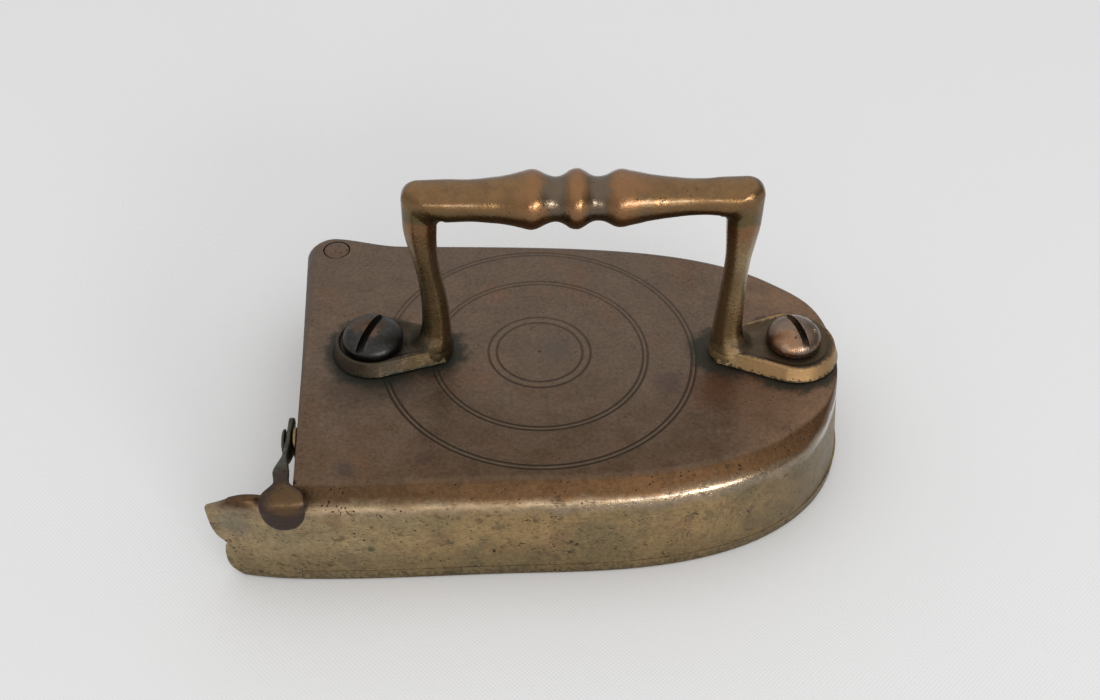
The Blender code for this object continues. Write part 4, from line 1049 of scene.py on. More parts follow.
    def foot_plan(self, screw: float, radius: float, post: float, shrink: float) -> Array:
        """Plan of a foot: a round pad at the screw that narrows to the post.

        Args:
            screw: x of the screw.
            radius: radius of the round pad.
            post: x of the post.
            shrink: how far to draw it in.

        Returns:
            The plan points.
        """
        side = 1.0 if screw > post else -1.0
        neck, disc = self.foot_neck - shrink, radius - shrink
        spread = math.acos(min(0.95, (disc - neck) / abs(screw - post))) + math.radians(4.0)
        turn = np.linspace(math.pi - spread, spread - math.pi, 90)
        pad = np.stack([screw + side * disc * np.cos(turn), disc * np.sin(turn)], axis=1)
        back = post - side * (self.half_width * 0.75 - shrink)
        tail = np.array([(0.5, -1.0), (0.15, -0.86), (0.0, -0.55), (0.0, 0.55), (0.15, 0.86), (0.5, 1.0)])
        return np.vstack([pad, tail * (side * neck, neck) + (back, 0.0)])

    def foot(self, screw: float, radius: float, post: float, depth: float) -> Piece:
        """Foot with sloping sides, a narrow rounded rim and a shallow dish inside it.

        The rim is a quarter circle; the dish falls from it by depth·(1 − cos) of a quarter turn's share.

        Args:
            screw: x of the screw.
            radius: radius of the round pad.
            post: x of the post.
            depth: depth of the dish.

        Returns:
            The closed foot.
        """
        top = self.base + self.foot_thick
        rows = [(0.0004, self.base), (0.0, self.base + 0.0004)]
        rows += [(self.foot_slope + self.foot_edge * (1.0 - math.cos(turn)),
                  top - self.foot_edge * (1.0 - math.sin(turn))) for turn in quarter(6)]
        inside = self.foot_slope + self.foot_edge + self.dish_start
        rows += [(inside + self.dish_run * share, top - depth * 0.5 * (1.0 - math.cos(math.pi * share)))
                 for share in np.linspace(0.0, 1.0, 7)]
        return lofted("foot", lambda shrink: self.foot_plan(screw, radius, post, shrink), rows)

    def dish(self, screw: float, radius: float, depth: float) -> Piece:
        """Tool for the seat of a screw's head, with a soft rim and a rounded floor.

        Args:
            screw: x of the screw.
            radius: radius of the seat.
            depth: depth of its floor.

        Returns:
            The tool.
        """
        top = self.base + self.foot_thick
        floor, rim = top - depth, min(0.0005, depth * 0.5)
        profile = [(0.0, floor), (radius - 0.0004, floor), (radius, floor + depth * 0.3)]
        profile += [(radius + rim * (1.0 - math.cos(t)), top - rim * (1.0 - math.sin(t))) for t in quarter(6)]
        profile += [(radius + rim, top + 0.008), (0.0, top + 0.008)]
        return turned("dish", profile, (screw, 0.0, 0.0))

    def build(self, brass: Material) -> Piece:
        """Lofts posts and bar in one sweep, joins the feet, seats the screws and dresses the handle.

        Args:
            brass: its finish.

        Returns:
            The dressed handle.
        """
        rear = self.post(self.posts[0], -1.0, self.leans[0], self.axis)
        front = self.post(self.posts[1], 1.0, self.leans[1], self.axis + self.rise)
        rear_corner = self.corner(rear, -1.0, self.axis)
        front_corner = self.corner(front, 1.0, self.axis + self.rise)
        runs = [rear, rear_corner, self.bar(rear_corner, front_corner),
                tuple(part[::-1] for part in front_corner), tuple(part[::-1] for part in front)]
        stations = [np.concatenate(parts) for parts in zip(*runs)]
        handle = Bench.make("handle", Skin(self.sections(*stations)))
        for index, screw in enumerate(self.screws):
            foot = self.foot(screw, self.foot_radii[index], self.posts[index], self.dish_depths[index])
            Bench.work(handle, [foot], Cut.WITH)
            bore = upright("bore", ring_plan((screw, 0.0), self.bore, 48), self.base - 0.01, self.base + 0.02)
            seat = self.dish(screw, self.seat_radii[index], self.seat_depths[index])
            Bench.work(handle, [seat, bore], Cut.AWAY)
        return Bench.finish(handle, brass, "casing", "rubbed_brass", ["handle"])


@dataclass
class Screw:
    """Domed screw with a sawn slot, its shank through the foot into the top."""

    name: str
    x: float
    slot_turn: float
    slot: str
    radius: float = 0.0084
    seat: float = 0.0358
    height: float = 0.0056
    edge: float = 0.0012
    shank: float = 0.0036
    end: float = 0.0289
    slot_width: float = 0.0016
    slot_depth: float = 0.0018
    slot_edge: float = 0.00022
    chamfer: float = 0.0004
    pits: tuple[tuple[float, float, float], ...] = ()

    def build(self, metal: Material) -> Piece:
        """Turns the head, an upright edge under a quarter ellipse, then saws the slot and dents it.

        Args:
            metal: its finish.

        Returns:
            The dressed screw.
        """
        dome = self.height - self.edge
        shoulder = self.seat + self.edge
        curve = [(self.radius * math.cos(t), shoulder + dome * math.sin(t)) for t in quarter(26)[:-1]]
        crown = self.seat + self.height
        profile = [(0.0, self.end), (self.shank, self.end), (self.shank, self.seat),
                   (self.radius - self.chamfer, self.seat), (self.radius, self.seat + self.chamfer), *curve,
                   (0.0, crown)]
        screw = Bench.make(self.name, turned_skin(profile))
        reach, floor = self.radius + 0.001, crown - self.slot_depth
        box = box_plan(-reach, reach, 0.0, self.slot_width * 0.5)
        tools = [moved(upright("saw", box, floor, crown + 0.01), Matrix.Rotation(self.slot_turn, 4, "Z"))]
        for x, y, size in self.pits:
            level = shoulder + dome * math.sqrt(max(0.0, 1.0 - (x * x + y * y) / self.radius**2))
            ball = [(size * math.sin(t), -size * math.cos(t)) for t in np.linspace(0.0, math.pi, 15)[1:-1]]
            ball = [(0.0, -size), *ball, (0.0, size)]
            tools.append(turned("pit", ball, (x, y, level + size * 0.35), 24))
        for tool in tools:
            Bench.work(screw, [tool], Cut.AWAY)
        Bench.ease_edges(screw, self.slot_edge, lambda middle: middle[:, 2] > floor + 5e-4, 30.0)
        moved(screw, Matrix.Translation((self.x, 0.0, 0.0)))
        return Bench.finish(screw, metal, "casing", self.slot, [self.name])


@dataclass
class Latch:
    """Latch on the gate: lever over the near wall, its rivet and the stepped washer behind it.

    The lever's frame has X along the pivot into the gate, Y towards the hinge and Z up.
    """

    plan: BodyPlan
    barrel: float = 0.006
    pivot_y: float = -0.0295
    drop: float = 0.006
    gap: float = 0.0003
    rivet: float = 0.0013
    rivet_head: float = 0.0039
    rivet_high: float = 0.001
    rivet_end: float = 0.0028
    washer: float = 0.0042
    washer_neck: float = 0.0023
    standoff: float = 0.0004
    washer_thick: float = 0.0008
    strap: float = 0.0018
    eye: float = 0.0042
    tail: float = 0.0085
    neck: float = 0.0021
    pad: float = 0.0057
    pad_thick: float = 0.0018
    pad_drop: float = 0.0088
    over_wall: float = 0.00088
    bend: float = 0.0024
    arm: float = 0.0022
    pad_shift: float = 0.0008
    closes: Pair = (0.0008, 0.0009)
    powers: Pair = (0.55, 0.65)

    def frame(self) -> Matrix:
        """Frame of the pivot on the gate's outer face.

        Returns:
            The frame as a matrix.
        """
        far, near, along = self.plan.gate_line(self.barrel, 0.0)
        point = blend(far, near, (self.pivot_y - far[1]) / (near[1] - far[1]))
        return Matrix(((-along[1], -along[0], 0.0, point[0]), (along[0], -along[1], 0.0, point[1]),
                       (0.0, 0.0, 1.0, self.plan.height - self.drop), (0.0, 0.0, 0.0, 1.0)))

    def along_pivot(self, name: str, profile: Profile, segments: int = 72,
                    ends: End = End.POINT) -> Piece:
        """Turned piece laid along the pivot, its height along X."""
        piece = Bench.make(name, turned_skin(profile, segments, ends))
        return moved(piece, self.frame() @ Matrix.Rotation(math.pi * 0.5, 4, "Y"))

    def bore(self) -> Piece:
        """Tool for the rivet's hole."""
        radius = self.rivet + self.gap
        return self.along_pivot("rivet_hole", [(0.0, -0.01), (radius, -0.01), (radius, 0.01), (0.0, 0.01)], 48)

    @property
    def middle(self) -> float:
        """Place of the strap's middle along the pivot."""
        return -(self.gap + self.standoff + self.washer_thick + self.gap + self.strap * 0.5)

    def path(self) -> Array:
        """Rough stations of the lever: x, y, z, turn of the path, half width and half thickness.

        Returns:
            Array of (stations, 6).
        """
        frame = self.frame()
        centre = np.array((frame @ Vector((self.middle, 0.0, 0.0)))[:2])
        along = -np.array([frame[0][1], frame[1][1]])
        wall = self.plan.on_line(centre, along, self.plan.beak_radius + self.over_wall)
        clear = -float((wall - centre) @ along)
        over, half, strap = self.drop + self.over_wall, self.pad_thick * 0.5, self.strap * 0.5
        turn_at = (clear + self.bend - half, over + half - self.bend)
        climb = (clear * 0.66, over + half)
        level, rising = math.pi, math.pi * 0.8
        x, pad_x = self.middle, self.middle + self.pad_shift
        rows = [(x, self.tail, self.arm * 0.2, level, strap, self.arm * 0.45),
                (x, self.tail * 0.75, self.arm * 0.2, level, strap, self.arm * 0.8),
                (x, self.eye * 0.7, 0.0, level, strap, self.eye * 0.72),
                (x, 0.0, 0.0, level, strap, self.eye * 0.95),
                (x, -self.eye * 0.7, self.arm * 0.35, blend(level, rising, 0.55), strap, self.eye * 0.75),
                (x, climb[0] * 0.62, climb[1] * 0.62, rising, strap, self.arm * 0.75),
                (x, climb[0] * 0.85, climb[1] * 0.9, blend(level, rising, 0.7), self.neck * 0.8, half * 1.1),
                (x, climb[0], climb[1], level, self.neck, half)]
        for share, width in ((0.5, 0.36), (0.68, 0.54), (0.84, 0.75)):
            rows.append((blend(x, pad_x, share), blend(climb[0], turn_at[0], share), climb[1], level,
                         self.pad * width, half))
        for turned, width in ((0.0, 0.90), (1 / 3, 0.97), (2 / 3, 1.0), (1.0, 1.0)):
            turn = math.pi * 0.5 * turned
            y, z = turn_at[0] - self.bend * math.sin(turn), turn_at[1] + self.bend * math.cos(turn)
            rows.append((pad_x, y, z, level + turn, self.pad * width, half))
        low = self.drop - self.pad_drop
        for share, width in ((0.25, 0.96), (0.5, 0.88), (0.75, 0.70), (0.92, 0.42), (1.0, 0.22)):
            rows.append((pad_x, turn_at[0] - self.bend, blend(turn_at[1], low, share), math.pi * 1.5,
                         self.pad * width, half * blend(1.0, 0.8, share)))
        return np.array(rows)

    def lever(self, iron: Material) -> Piece:
        """Sweeps the lever: smooth curves through the rough stations, each loop a superellipse.

        A point at turn t of a loop lies at (half width·cos t^0.55, half thickness·sin t^0.65), signs kept,
        the second laid across the path; both ends draw in on a quarter circle.

        Args:
            iron: its finish.

        Returns:
            The dressed lever.
        """
        rough = self.path()
        steps = reaches(rough[:, :3])
        at = np.linspace(0.0, steps[-1], 110)
        x, y, z, turn, wide, thin = (through(list(zip(steps, rough[:, part])), at) for part in range(6))
        close = np.ones_like(at)
        for left, size in zip((at, steps[-1] - at), self.closes):
            close *= np.sqrt(np.clip(1.0 - np.clip(1.0 - left / size, 0.0, 1.0) ** 2, 0.0, 1.0))
        close = np.maximum(close, 0.25)[:, None]
        cos, sin = np.cos(circle(40)), np.sin(circle(40))
        aside = np.sign(cos) * np.abs(cos) ** self.powers[0] * wide[:, None] * close
        across = np.sign(sin) * np.abs(sin) ** self.powers[1] * thin[:, None] * close
        grid = np.stack([x[:, None] + aside, y[:, None] + across * np.sin(turn)[:, None],
                         z[:, None] - across * np.cos(turn)[:, None]], axis=-1)
        lever = moved(Bench.make("latch_lever", Skin(grid, End.POINT, End.POINT)), self.frame())
        Bench.work(lever, [self.bore()], Cut.AWAY)
        return Bench.finish(lever, iron, "latch", "dark_iron", ["latch_lever"], 50.0)

    def rivet_and_washer(self, iron: Material, brass: Material) -> list[Piece]:
        """Turns the low domed rivet and the stepped washer.

        Args:
            iron: finish of the rivet.
            brass: finish of the washer.

        Returns:
            The dressed rivet and washer.
        """
        high = self.middle - self.strap * 0.5 - self.gap
        head, tall = self.rivet_head, self.rivet_high
        dome = [(head * math.sin(t), high - tall * 0.25 - tall * 0.75 * math.cos(t)) for t in quarter(12)]
        profile = dome + [(head, high), (self.rivet, high), (self.rivet, self.rivet_end), (0.0, self.rivet_end)]
        rivet = self.along_pivot("latch_rivet", profile)
        shoulder = -self.gap - self.standoff
        face = shoulder - self.washer_thick
        bore, neck = self.rivet + self.gap, self.washer_neck
        ring = rounded_profile([(bore, -self.gap), (bore, face), (self.washer, face), (self.washer, shoulder),
                                (neck, shoulder), (neck, -self.gap), (bore, -self.gap)], 0.0002, 4)
        washer = self.along_pivot("latch_washer", ring, ends=End.SEAM)
        return [Bench.finish(rivet, iron, "gate", "dark_iron", ["latch_rivet"]),
                Bench.finish(washer, brass, "gate", "aged_brass", ["latch_washer"])]


@dataclass
class Slug:
    """Loose iron block that is heated in the fire, with a hole for the hook that lifts it."""

    plan: BodyPlan
    low: float = 0.0053
    height: float = 0.0165
    side_gap: float = 0.003
    play: float = 0.0026
    gate_thick: float = 0.004
    barrel: float = 0.006
    edge: float = 0.0015
    hook_radius: float = 0.0055
    hook_inset: float = 0.013
    hook_edge: float = 0.0005
    pitch: float = 0.0018

    def outline(self, shrink: float) -> Array:
        """Outline inside the walls and ahead of the gate, drawn in by shrink.

        Args:
            shrink: how far to draw it in.

        Returns:
            The plan points.
        """
        plan = self.plan
        points, outward, nose, _ = plan.outline(self.pitch)
        lean = blend(plan.side_lean, plan.nose_lean, nose)
        line = points - outward * (plan.wall + lean + self.side_gap + shrink)[:, None]
        far, near, _ = plan.gate_line(self.barrel, self.gate_thick + self.play + shrink)

        def gate_x(y: Array) -> Array:
            """X of the slug's rear face at a place across."""
            return blend(far[0], near[0], (y - far[1]) / (near[1] - far[1]))

        room = plan.hinge_y - self.barrel - self.side_gap - shrink
        kept = line[(line[:, 0] > gate_x(line[:, 1]) + 0.002) & (line[:, 1] < room)]
        ends = kept[[-1, 0], 1]
        rear = np.stack([gate_x(ends), ends], axis=1)
        return np.vstack([kept, rear])

    def build(self, iron: Material) -> Piece:
        """Lofts the block with quarter-round edges, bores the hook's hole and dresses it.

        Args:
            iron: its finish.

        Returns:
            The dressed slug.
        """
        whole = self.outline(0.0)
        away = whole.mean(axis=0) - whole
        away /= np.linalg.norm(away, axis=1, keepdims=True)
        high = self.low + self.height
        slug = lofted("slug", lambda inset: whole + away * inset, eased_rows(self.edge, self.low, high, 7))
        x = float(whole[-2:, 0].mean()) + self.hook_inset
        hook = upright("hook", ring_plan((x, 0.0), self.hook_radius), self.low - 0.01, high + 0.01)
        Bench.work(slug, [hook], Cut.AWAY)
        Bench.ease_edges(slug, self.hook_edge,
                         lambda at: np.hypot(at[:, 0] - x, at[:, 1]) < self.hook_radius + 1e-4)
        return Bench.finish(slug, iron, "slug", "slug_iron", ["slug"])


# Finishes

class Value:
    """Number that nodes work out at each place of a surface; arithmetic on it adds Math nodes."""

    def __init__(self, wiring: "Wiring", socket: Socket) -> None:
        """Takes a socket of the wiring's tree."""
        self.wiring, self.socket = wiring, socket

    def __add__(self, other: "Amount") -> "Value":
        """Sum of the two."""
        return self.wiring.math("ADD", self, other)

    def __sub__(self, other: "Amount") -> "Value":
        """This value less another."""
        return self.wiring.math("SUBTRACT", self, other)

    def __rsub__(self, other: float) -> "Value":
        """A plain number less this value."""
        return self.wiring.math("SUBTRACT", other, self)

    def __mul__(self, other: "Amount") -> "Value":
        """Product of the two."""
        return self.wiring.math("MULTIPLY", self, other)

    def __truediv__(self, other: "Amount") -> "Value":
        """This value over another."""
        return self.wiring.math("DIVIDE", self, other)

    def __abs__(self) -> "Value":
        """Size of this value without its sign."""
        return self.wiring.math("ABSOLUTE", self)

    __radd__, __rmul__ = __add__, __mul__


Amount = float | Value
Tint = Colour | Socket | Value


class Wiring:
    """Node wiring of one tree: its methods add nodes and return what they put out."""

    def __init__(self, tree: bpy.types.NodeTree) -> None:
        """Starts on a node tree."""
        self.tree = tree

    def feed(self, socket: Socket, value: object) -> None:
        """Links a value or another socket into a socket, or sets its plain number or colour.

        Args:
            socket: input that takes the value.
            value: a value, a socket, a number or a colour.
        """
        if isinstance(value, Value):
            value = value.socket
        if isinstance(value, Socket):
            self.tree.links.new(value, socket)
        elif isinstance(value, (tuple, list)) and socket.type == "RGBA":
            socket.default_value = (*value, 1.0)
        else:
            socket.default_value = value

    def fill(self, node: Node, inputs: dict[int | str, object]) -> None:
        """Feeds several inputs of a node, by name or number."""
        for name, value in inputs.items():
            self.feed(node.inputs[name], value)

    def add(self, kind: str, inputs: Optional[dict[int | str, object]] = None, **settings: object) -> Node:
        """Adds a node, sets its options and then feeds its inputs.

        Args:
            kind: kind of node.
            inputs: values by input name or number.
            settings: options by name.

        Returns:
            The node.
        """
        node = self.tree.nodes.new(kind)
        for name, setting in settings.items():
            setattr(node, name, setting)
        self.fill(node, inputs or {})
        return node

    def place(self) -> Socket:
        """The piece's own coordinates, in metres."""
        return self.add("ShaderNodeTexCoord").outputs["Object"]

    def math(self, operation: str, first: Amount, second: Amount = 0.0) -> Value:
        """Outcome of a Math node."""
        return Value(self, self.add("ShaderNodeMath", {0: first, 1: second}, operation=operation).outputs[0])

    def most(self, first: Amount, second: Amount) -> Value:
        """Greater of two values."""
        return self.math("MAXIMUM", first, second)

    def reach(self, first: Value, second: Value) -> Value:
        """Length of the step that goes first one way and second across it."""
        return self.math("SQRT", first * first + second * second)

    def span(self, value: Amount, low: float, high: float, to_low: float = 0.0, to_high: float = 1.0) -> Value:
        """Eased ramp of a value between low and high."""
        inputs = dict(enumerate((value, low, high, to_low, to_high)))
        return Value(self, self.add("ShaderNodeMapRange", inputs, interpolation_type="SMOOTHSTEP").outputs[0])

    def band(self, value: Value, middle: float, half: float, soft: float) -> Value:
        """Mask that is 1 within half of the middle and falls to 0 over soft."""
        return self.span(abs(value - middle), half + soft, half)

    def tint(self, share: Amount, first: Tint, second: Tint, how: str = "MIX") -> Socket:
        """Colour that lies share of the way from first to second."""
        inputs = {0: share, 6: first, 7: second}
        return self.add("ShaderNodeMix", inputs, data_type="RGBA", blend_type=how).outputs[2]

    def parts(self, vector: Socket) -> list[Value]:
        """X, Y and Z of a vector."""
        return [Value(self, part) for part in self.add("ShaderNodeSeparateXYZ", {0: vector}).outputs]

    def shifted(self, vector: Socket, offset: Place = (0.0, 0.0, 0.0),
                scale: Place = (1.0, 1.0, 1.0)) -> Socket:
        """Vector scaled and then moved."""
        return self.add("ShaderNodeMapping", {"Vector": vector, "Location": offset, "Scale": scale}).outputs[0]

    def noise(self, vector: Socket, scale: Amount, detail: float = 4.0, rough: float = 0.55,
              twist: float = 0.0) -> Value:
        """Cloudy noise, about 0.5 in its middle."""
        inputs = {"Vector": vector, "Scale": scale, "Detail": detail, "Roughness": rough, "Distortion": twist}
        return Value(self, self.add("ShaderNodeTexNoise", inputs).outputs[0])

    def cells(self, vector: Socket, scale: Amount) -> Value:
        """Distance to the nearest of scattered points."""
        node = self.add("ShaderNodeTexVoronoi", {"Vector": vector, "Scale": scale})
        return Value(self, node.outputs["Distance"])

    def group(self, tree: bpy.types.NodeTree, **values: object) -> list[Value]:
        """Masks of a node group that is given its own values."""
        inputs = {name.capitalize(): value for name, value in values.items()}
        return [Value(self, mask) for mask in self.add("ShaderNodeGroup", inputs, node_tree=tree).outputs]


class Effect(Enum):
    """Surface effects that several finishes share, each a node group."""

    MOTTLE = "mottle"
    PITS = "pits"
    SCRATCHES = "scratches"
    STAIN = "stain"


class Effects:
    """Builds each shared effect once and keeps its node group."""

    def __init__(self) -> None:
        """Builds every effect by the method of its name."""
        self.trees = {effect: getattr(self, effect.value)() for effect in Effect}

    @staticmethod
    def tree(effect: Effect, numbers: Sequence[tuple[str, float]],
             outputs: Sequence[str] = ("Mask",)) -> tuple[Wiring, Socket, list[Value], Node]:
        """Empty group with a vector input, named values and named outputs.

        Args:
            effect: which effect it is for.
            numbers: names and first settings of its values.
            outputs: names of the masks that it puts out.

        Returns:
            Its wiring, its vector, its values and its output node.
        """
        tree = bpy.data.node_groups.new(effect.value, "ShaderNodeTree")
        tree.interface.new_socket("Vector", in_out="INPUT", socket_type="NodeSocketVector")
        for name, setting in numbers:
            socket = tree.interface.new_socket(name, in_out="INPUT", socket_type="NodeSocketFloat")
            socket.default_value = setting
        for name in outputs:
            tree.interface.new_socket(name, in_out="OUTPUT", socket_type="NodeSocketFloat")
        wiring = Wiring(tree)
        vector, *values = [socket for socket in wiring.add("NodeGroupInput").outputs if socket.name]
        return wiring, vector, [Value(wiring, value) for value in values], wiring.add("NodeGroupOutput")

    def mottle(self) -> bpy.types.NodeTree:
        """Broad and fine blotches: two cloudy noises a factor apart, and their blend.

        Returns:
            Its node group.
        """
        wiring, vector, (scale,), out = self.tree(Effect.MOTTLE, [("Scale", 60.0)], ["Broad", "Fine", "Both"])
        broad = wiring.span(wiring.noise(vector, scale, 5.0, 0.6, 0.4), 0.32, 0.68)
        fine = wiring.span(wiring.noise(vector, scale * 7.0, 4.0, 0.65), 0.3, 0.7)
        wiring.fill(out, {0: broad, 1: fine, 2: broad * 0.6 + fine * 0.4})
        return wiring.tree

    def pits(self) -> bpy.types.NodeTree:
        """Small scattered pits: spots nearer than a size to scattered points, kept where a cloud allows.

        Returns:
            Its node group.
        """
        wiring, vector, (scale, size, amount), out = self.tree(
            Effect.PITS, [("Scale", 500.0), ("Size", 0.22), ("Amount", 0.5)])
        cloud = wiring.add("ShaderNodeTexNoise", {"Vector": vector, "Scale": scale}).outputs["Color"]
        half = wiring.math("DIVIDE", 0.5, scale)
        swing = wiring.add("ShaderNodeVectorMath", {0: cloud, "Scale": half}, operation="SCALE")
        warp = wiring.add("ShaderNodeVectorMath", {0: vector, 1: swing.outputs[0]}, operation="ADD")
        spot = wiring.span(wiring.cells(warp.outputs[0], scale) / size, 1.0, 0.45)
        patch = wiring.noise(vector, scale * 0.23, 3.0)
        kept = wiring.span(patch - (1.0 - amount) * 0.7, 0.12, 0.2)
        wiring.feed(out.inputs[0], spot * kept)
        return wiring.tree

    def scratches(self) -> bpy.types.NodeTree:
        """Fine lines along X: the narrow middle of a noise that is drawn out along X, broken by a cloud.

        Returns:
            Its node group.
        """
        wiring, vector, (scale, width, amount), out = self.tree(
            Effect.SCRATCHES, [("Scale", 300.0), ("Width", 0.02), ("Amount", 0.5)])
        line = wiring.noise(wiring.shifted(vector, scale=(0.12, 1.0, 1.0)), scale, 2.0, 0.5)
        mark = wiring.span(abs(line - 0.5) / width, 1.0, 0.2)
        kept = wiring.span(wiring.noise(vector, scale * 0.2, 2.0) + amount * 0.5, 0.62, 0.8)
        wiring.feed(out.inputs[0], mark * kept)
        return wiring.tree

    def stain(self) -> bpy.types.NodeTree:
        """Stain that creeps out to a reach from a place, its edge broken by a cloud.

        Returns:
            Its node group.
        """
        wiring, vector, (distance, reach, scale), out = self.tree(
            Effect.STAIN, [("Distance", 0.0), ("Reach", 0.002), ("Scale", 300.0)])
        ragged = (wiring.noise(vector, scale, 5.0, 0.7) - 0.5) * (reach * 2.4)
        wiring.feed(out.inputs[0], wiring.span((distance + ragged) / reach, 1.15, 0.25))
        return wiring.tree


@dataclass(frozen=True)
class Ground:
    """Surface that a finish is laid on: its wiring, the piece's own place in metres, and its blotches."""

    wiring: Wiring
    effects: Effects
    place: Socket
    x: Value
    y: Value
    z: Value
    broad: Value
    fine: Value
    both: Value

    def cloud(self, shift: Place, scale: float, detail: float = 5.0, rough: float = 0.65) -> Value:
        """Cloudy noise read a shift away."""
        return self.wiring.noise(self.wiring.shifted(self.place, shift), scale, detail, rough)

    def mask(self, effect: Effect, **values: Amount) -> Value:
        """Mask of a shared effect."""
        return self.wiring.group(self.effects.trees[effect], vector=self.place, **values)[0]


@dataclass(frozen=True)
class Spot:
    """Ragged ball round a place of the frame, in which a surface takes another colour."""

    place: Place
    radius: float
    colour: Colour
    share: float = 0.7
    soft: float = 0.3


@dataclass(frozen=True)
class Finish:
    """A finish: its name and how to wire it into a material."""

    name: str

    def start(self) -> tuple[Material, Wiring, Node]:
        """New material with its wiring and its shader.

        Returns:
            The three of them.
        """
        material = bpy.data.materials.new(self.name)
        material.use_nodes = True
        return material, Wiring(material.node_tree), material.node_tree.nodes["Principled BSDF"]

    @staticmethod
    def ground(wiring: Wiring, effects: Effects, scale: float) -> Ground:
        """Ground whose blotches have a scale.

        Args:
            wiring: wiring of the material.
            effects: the shared effects.
            scale: scale of the blotches.

        Returns:
            The ground.
        """
        place = wiring.place()
        blotches = wiring.group(effects.trees[Effect.MOTTLE], vector=place, scale=scale)
        return Ground(wiring, effects, place, *wiring.parts(place), *blotches)

    @staticmethod
    def spotted(on: Ground, colour: Tint, spots: Sequence[Spot]) -> Tint:
        """Colour with each spot laid over it, the spots' edges broken by a cloud.

        Args:
            on: the ground.
            colour: colour under the spots.
            spots: the spots.

        Returns:
            The new colour.
        """
        wiring = on.wiring
        cloud = wiring.noise(on.place, 420.0, 5.0, 0.7) - 0.5
        for spot in spots:
            away = wiring.add("ShaderNodeVectorMath", {0: on.place, 1: spot.place}, operation="DISTANCE")
            reach = Value(wiring, away.outputs["Value"]) + cloud * (spot.radius * 1.6)
            mask = wiring.span(reach, spot.radius * (1.0 + spot.soft), spot.radius * (1.0 - spot.soft))
            colour = wiring.tint(mask * spot.share, colour, spot.colour)
        return colour

    @staticmethod
    def relief(wiring: Wiring, shader: Node, height: Value, distance: float, strength: float = 1.0) -> None:
        """Feeds a height in shares of a distance into the shader's normal."""
        bump = wiring.add("ShaderNodeBump", {"Strength": strength, "Distance": distance, "Height": height})
        wiring.feed(shader.inputs["Normal"], bump.outputs[0])


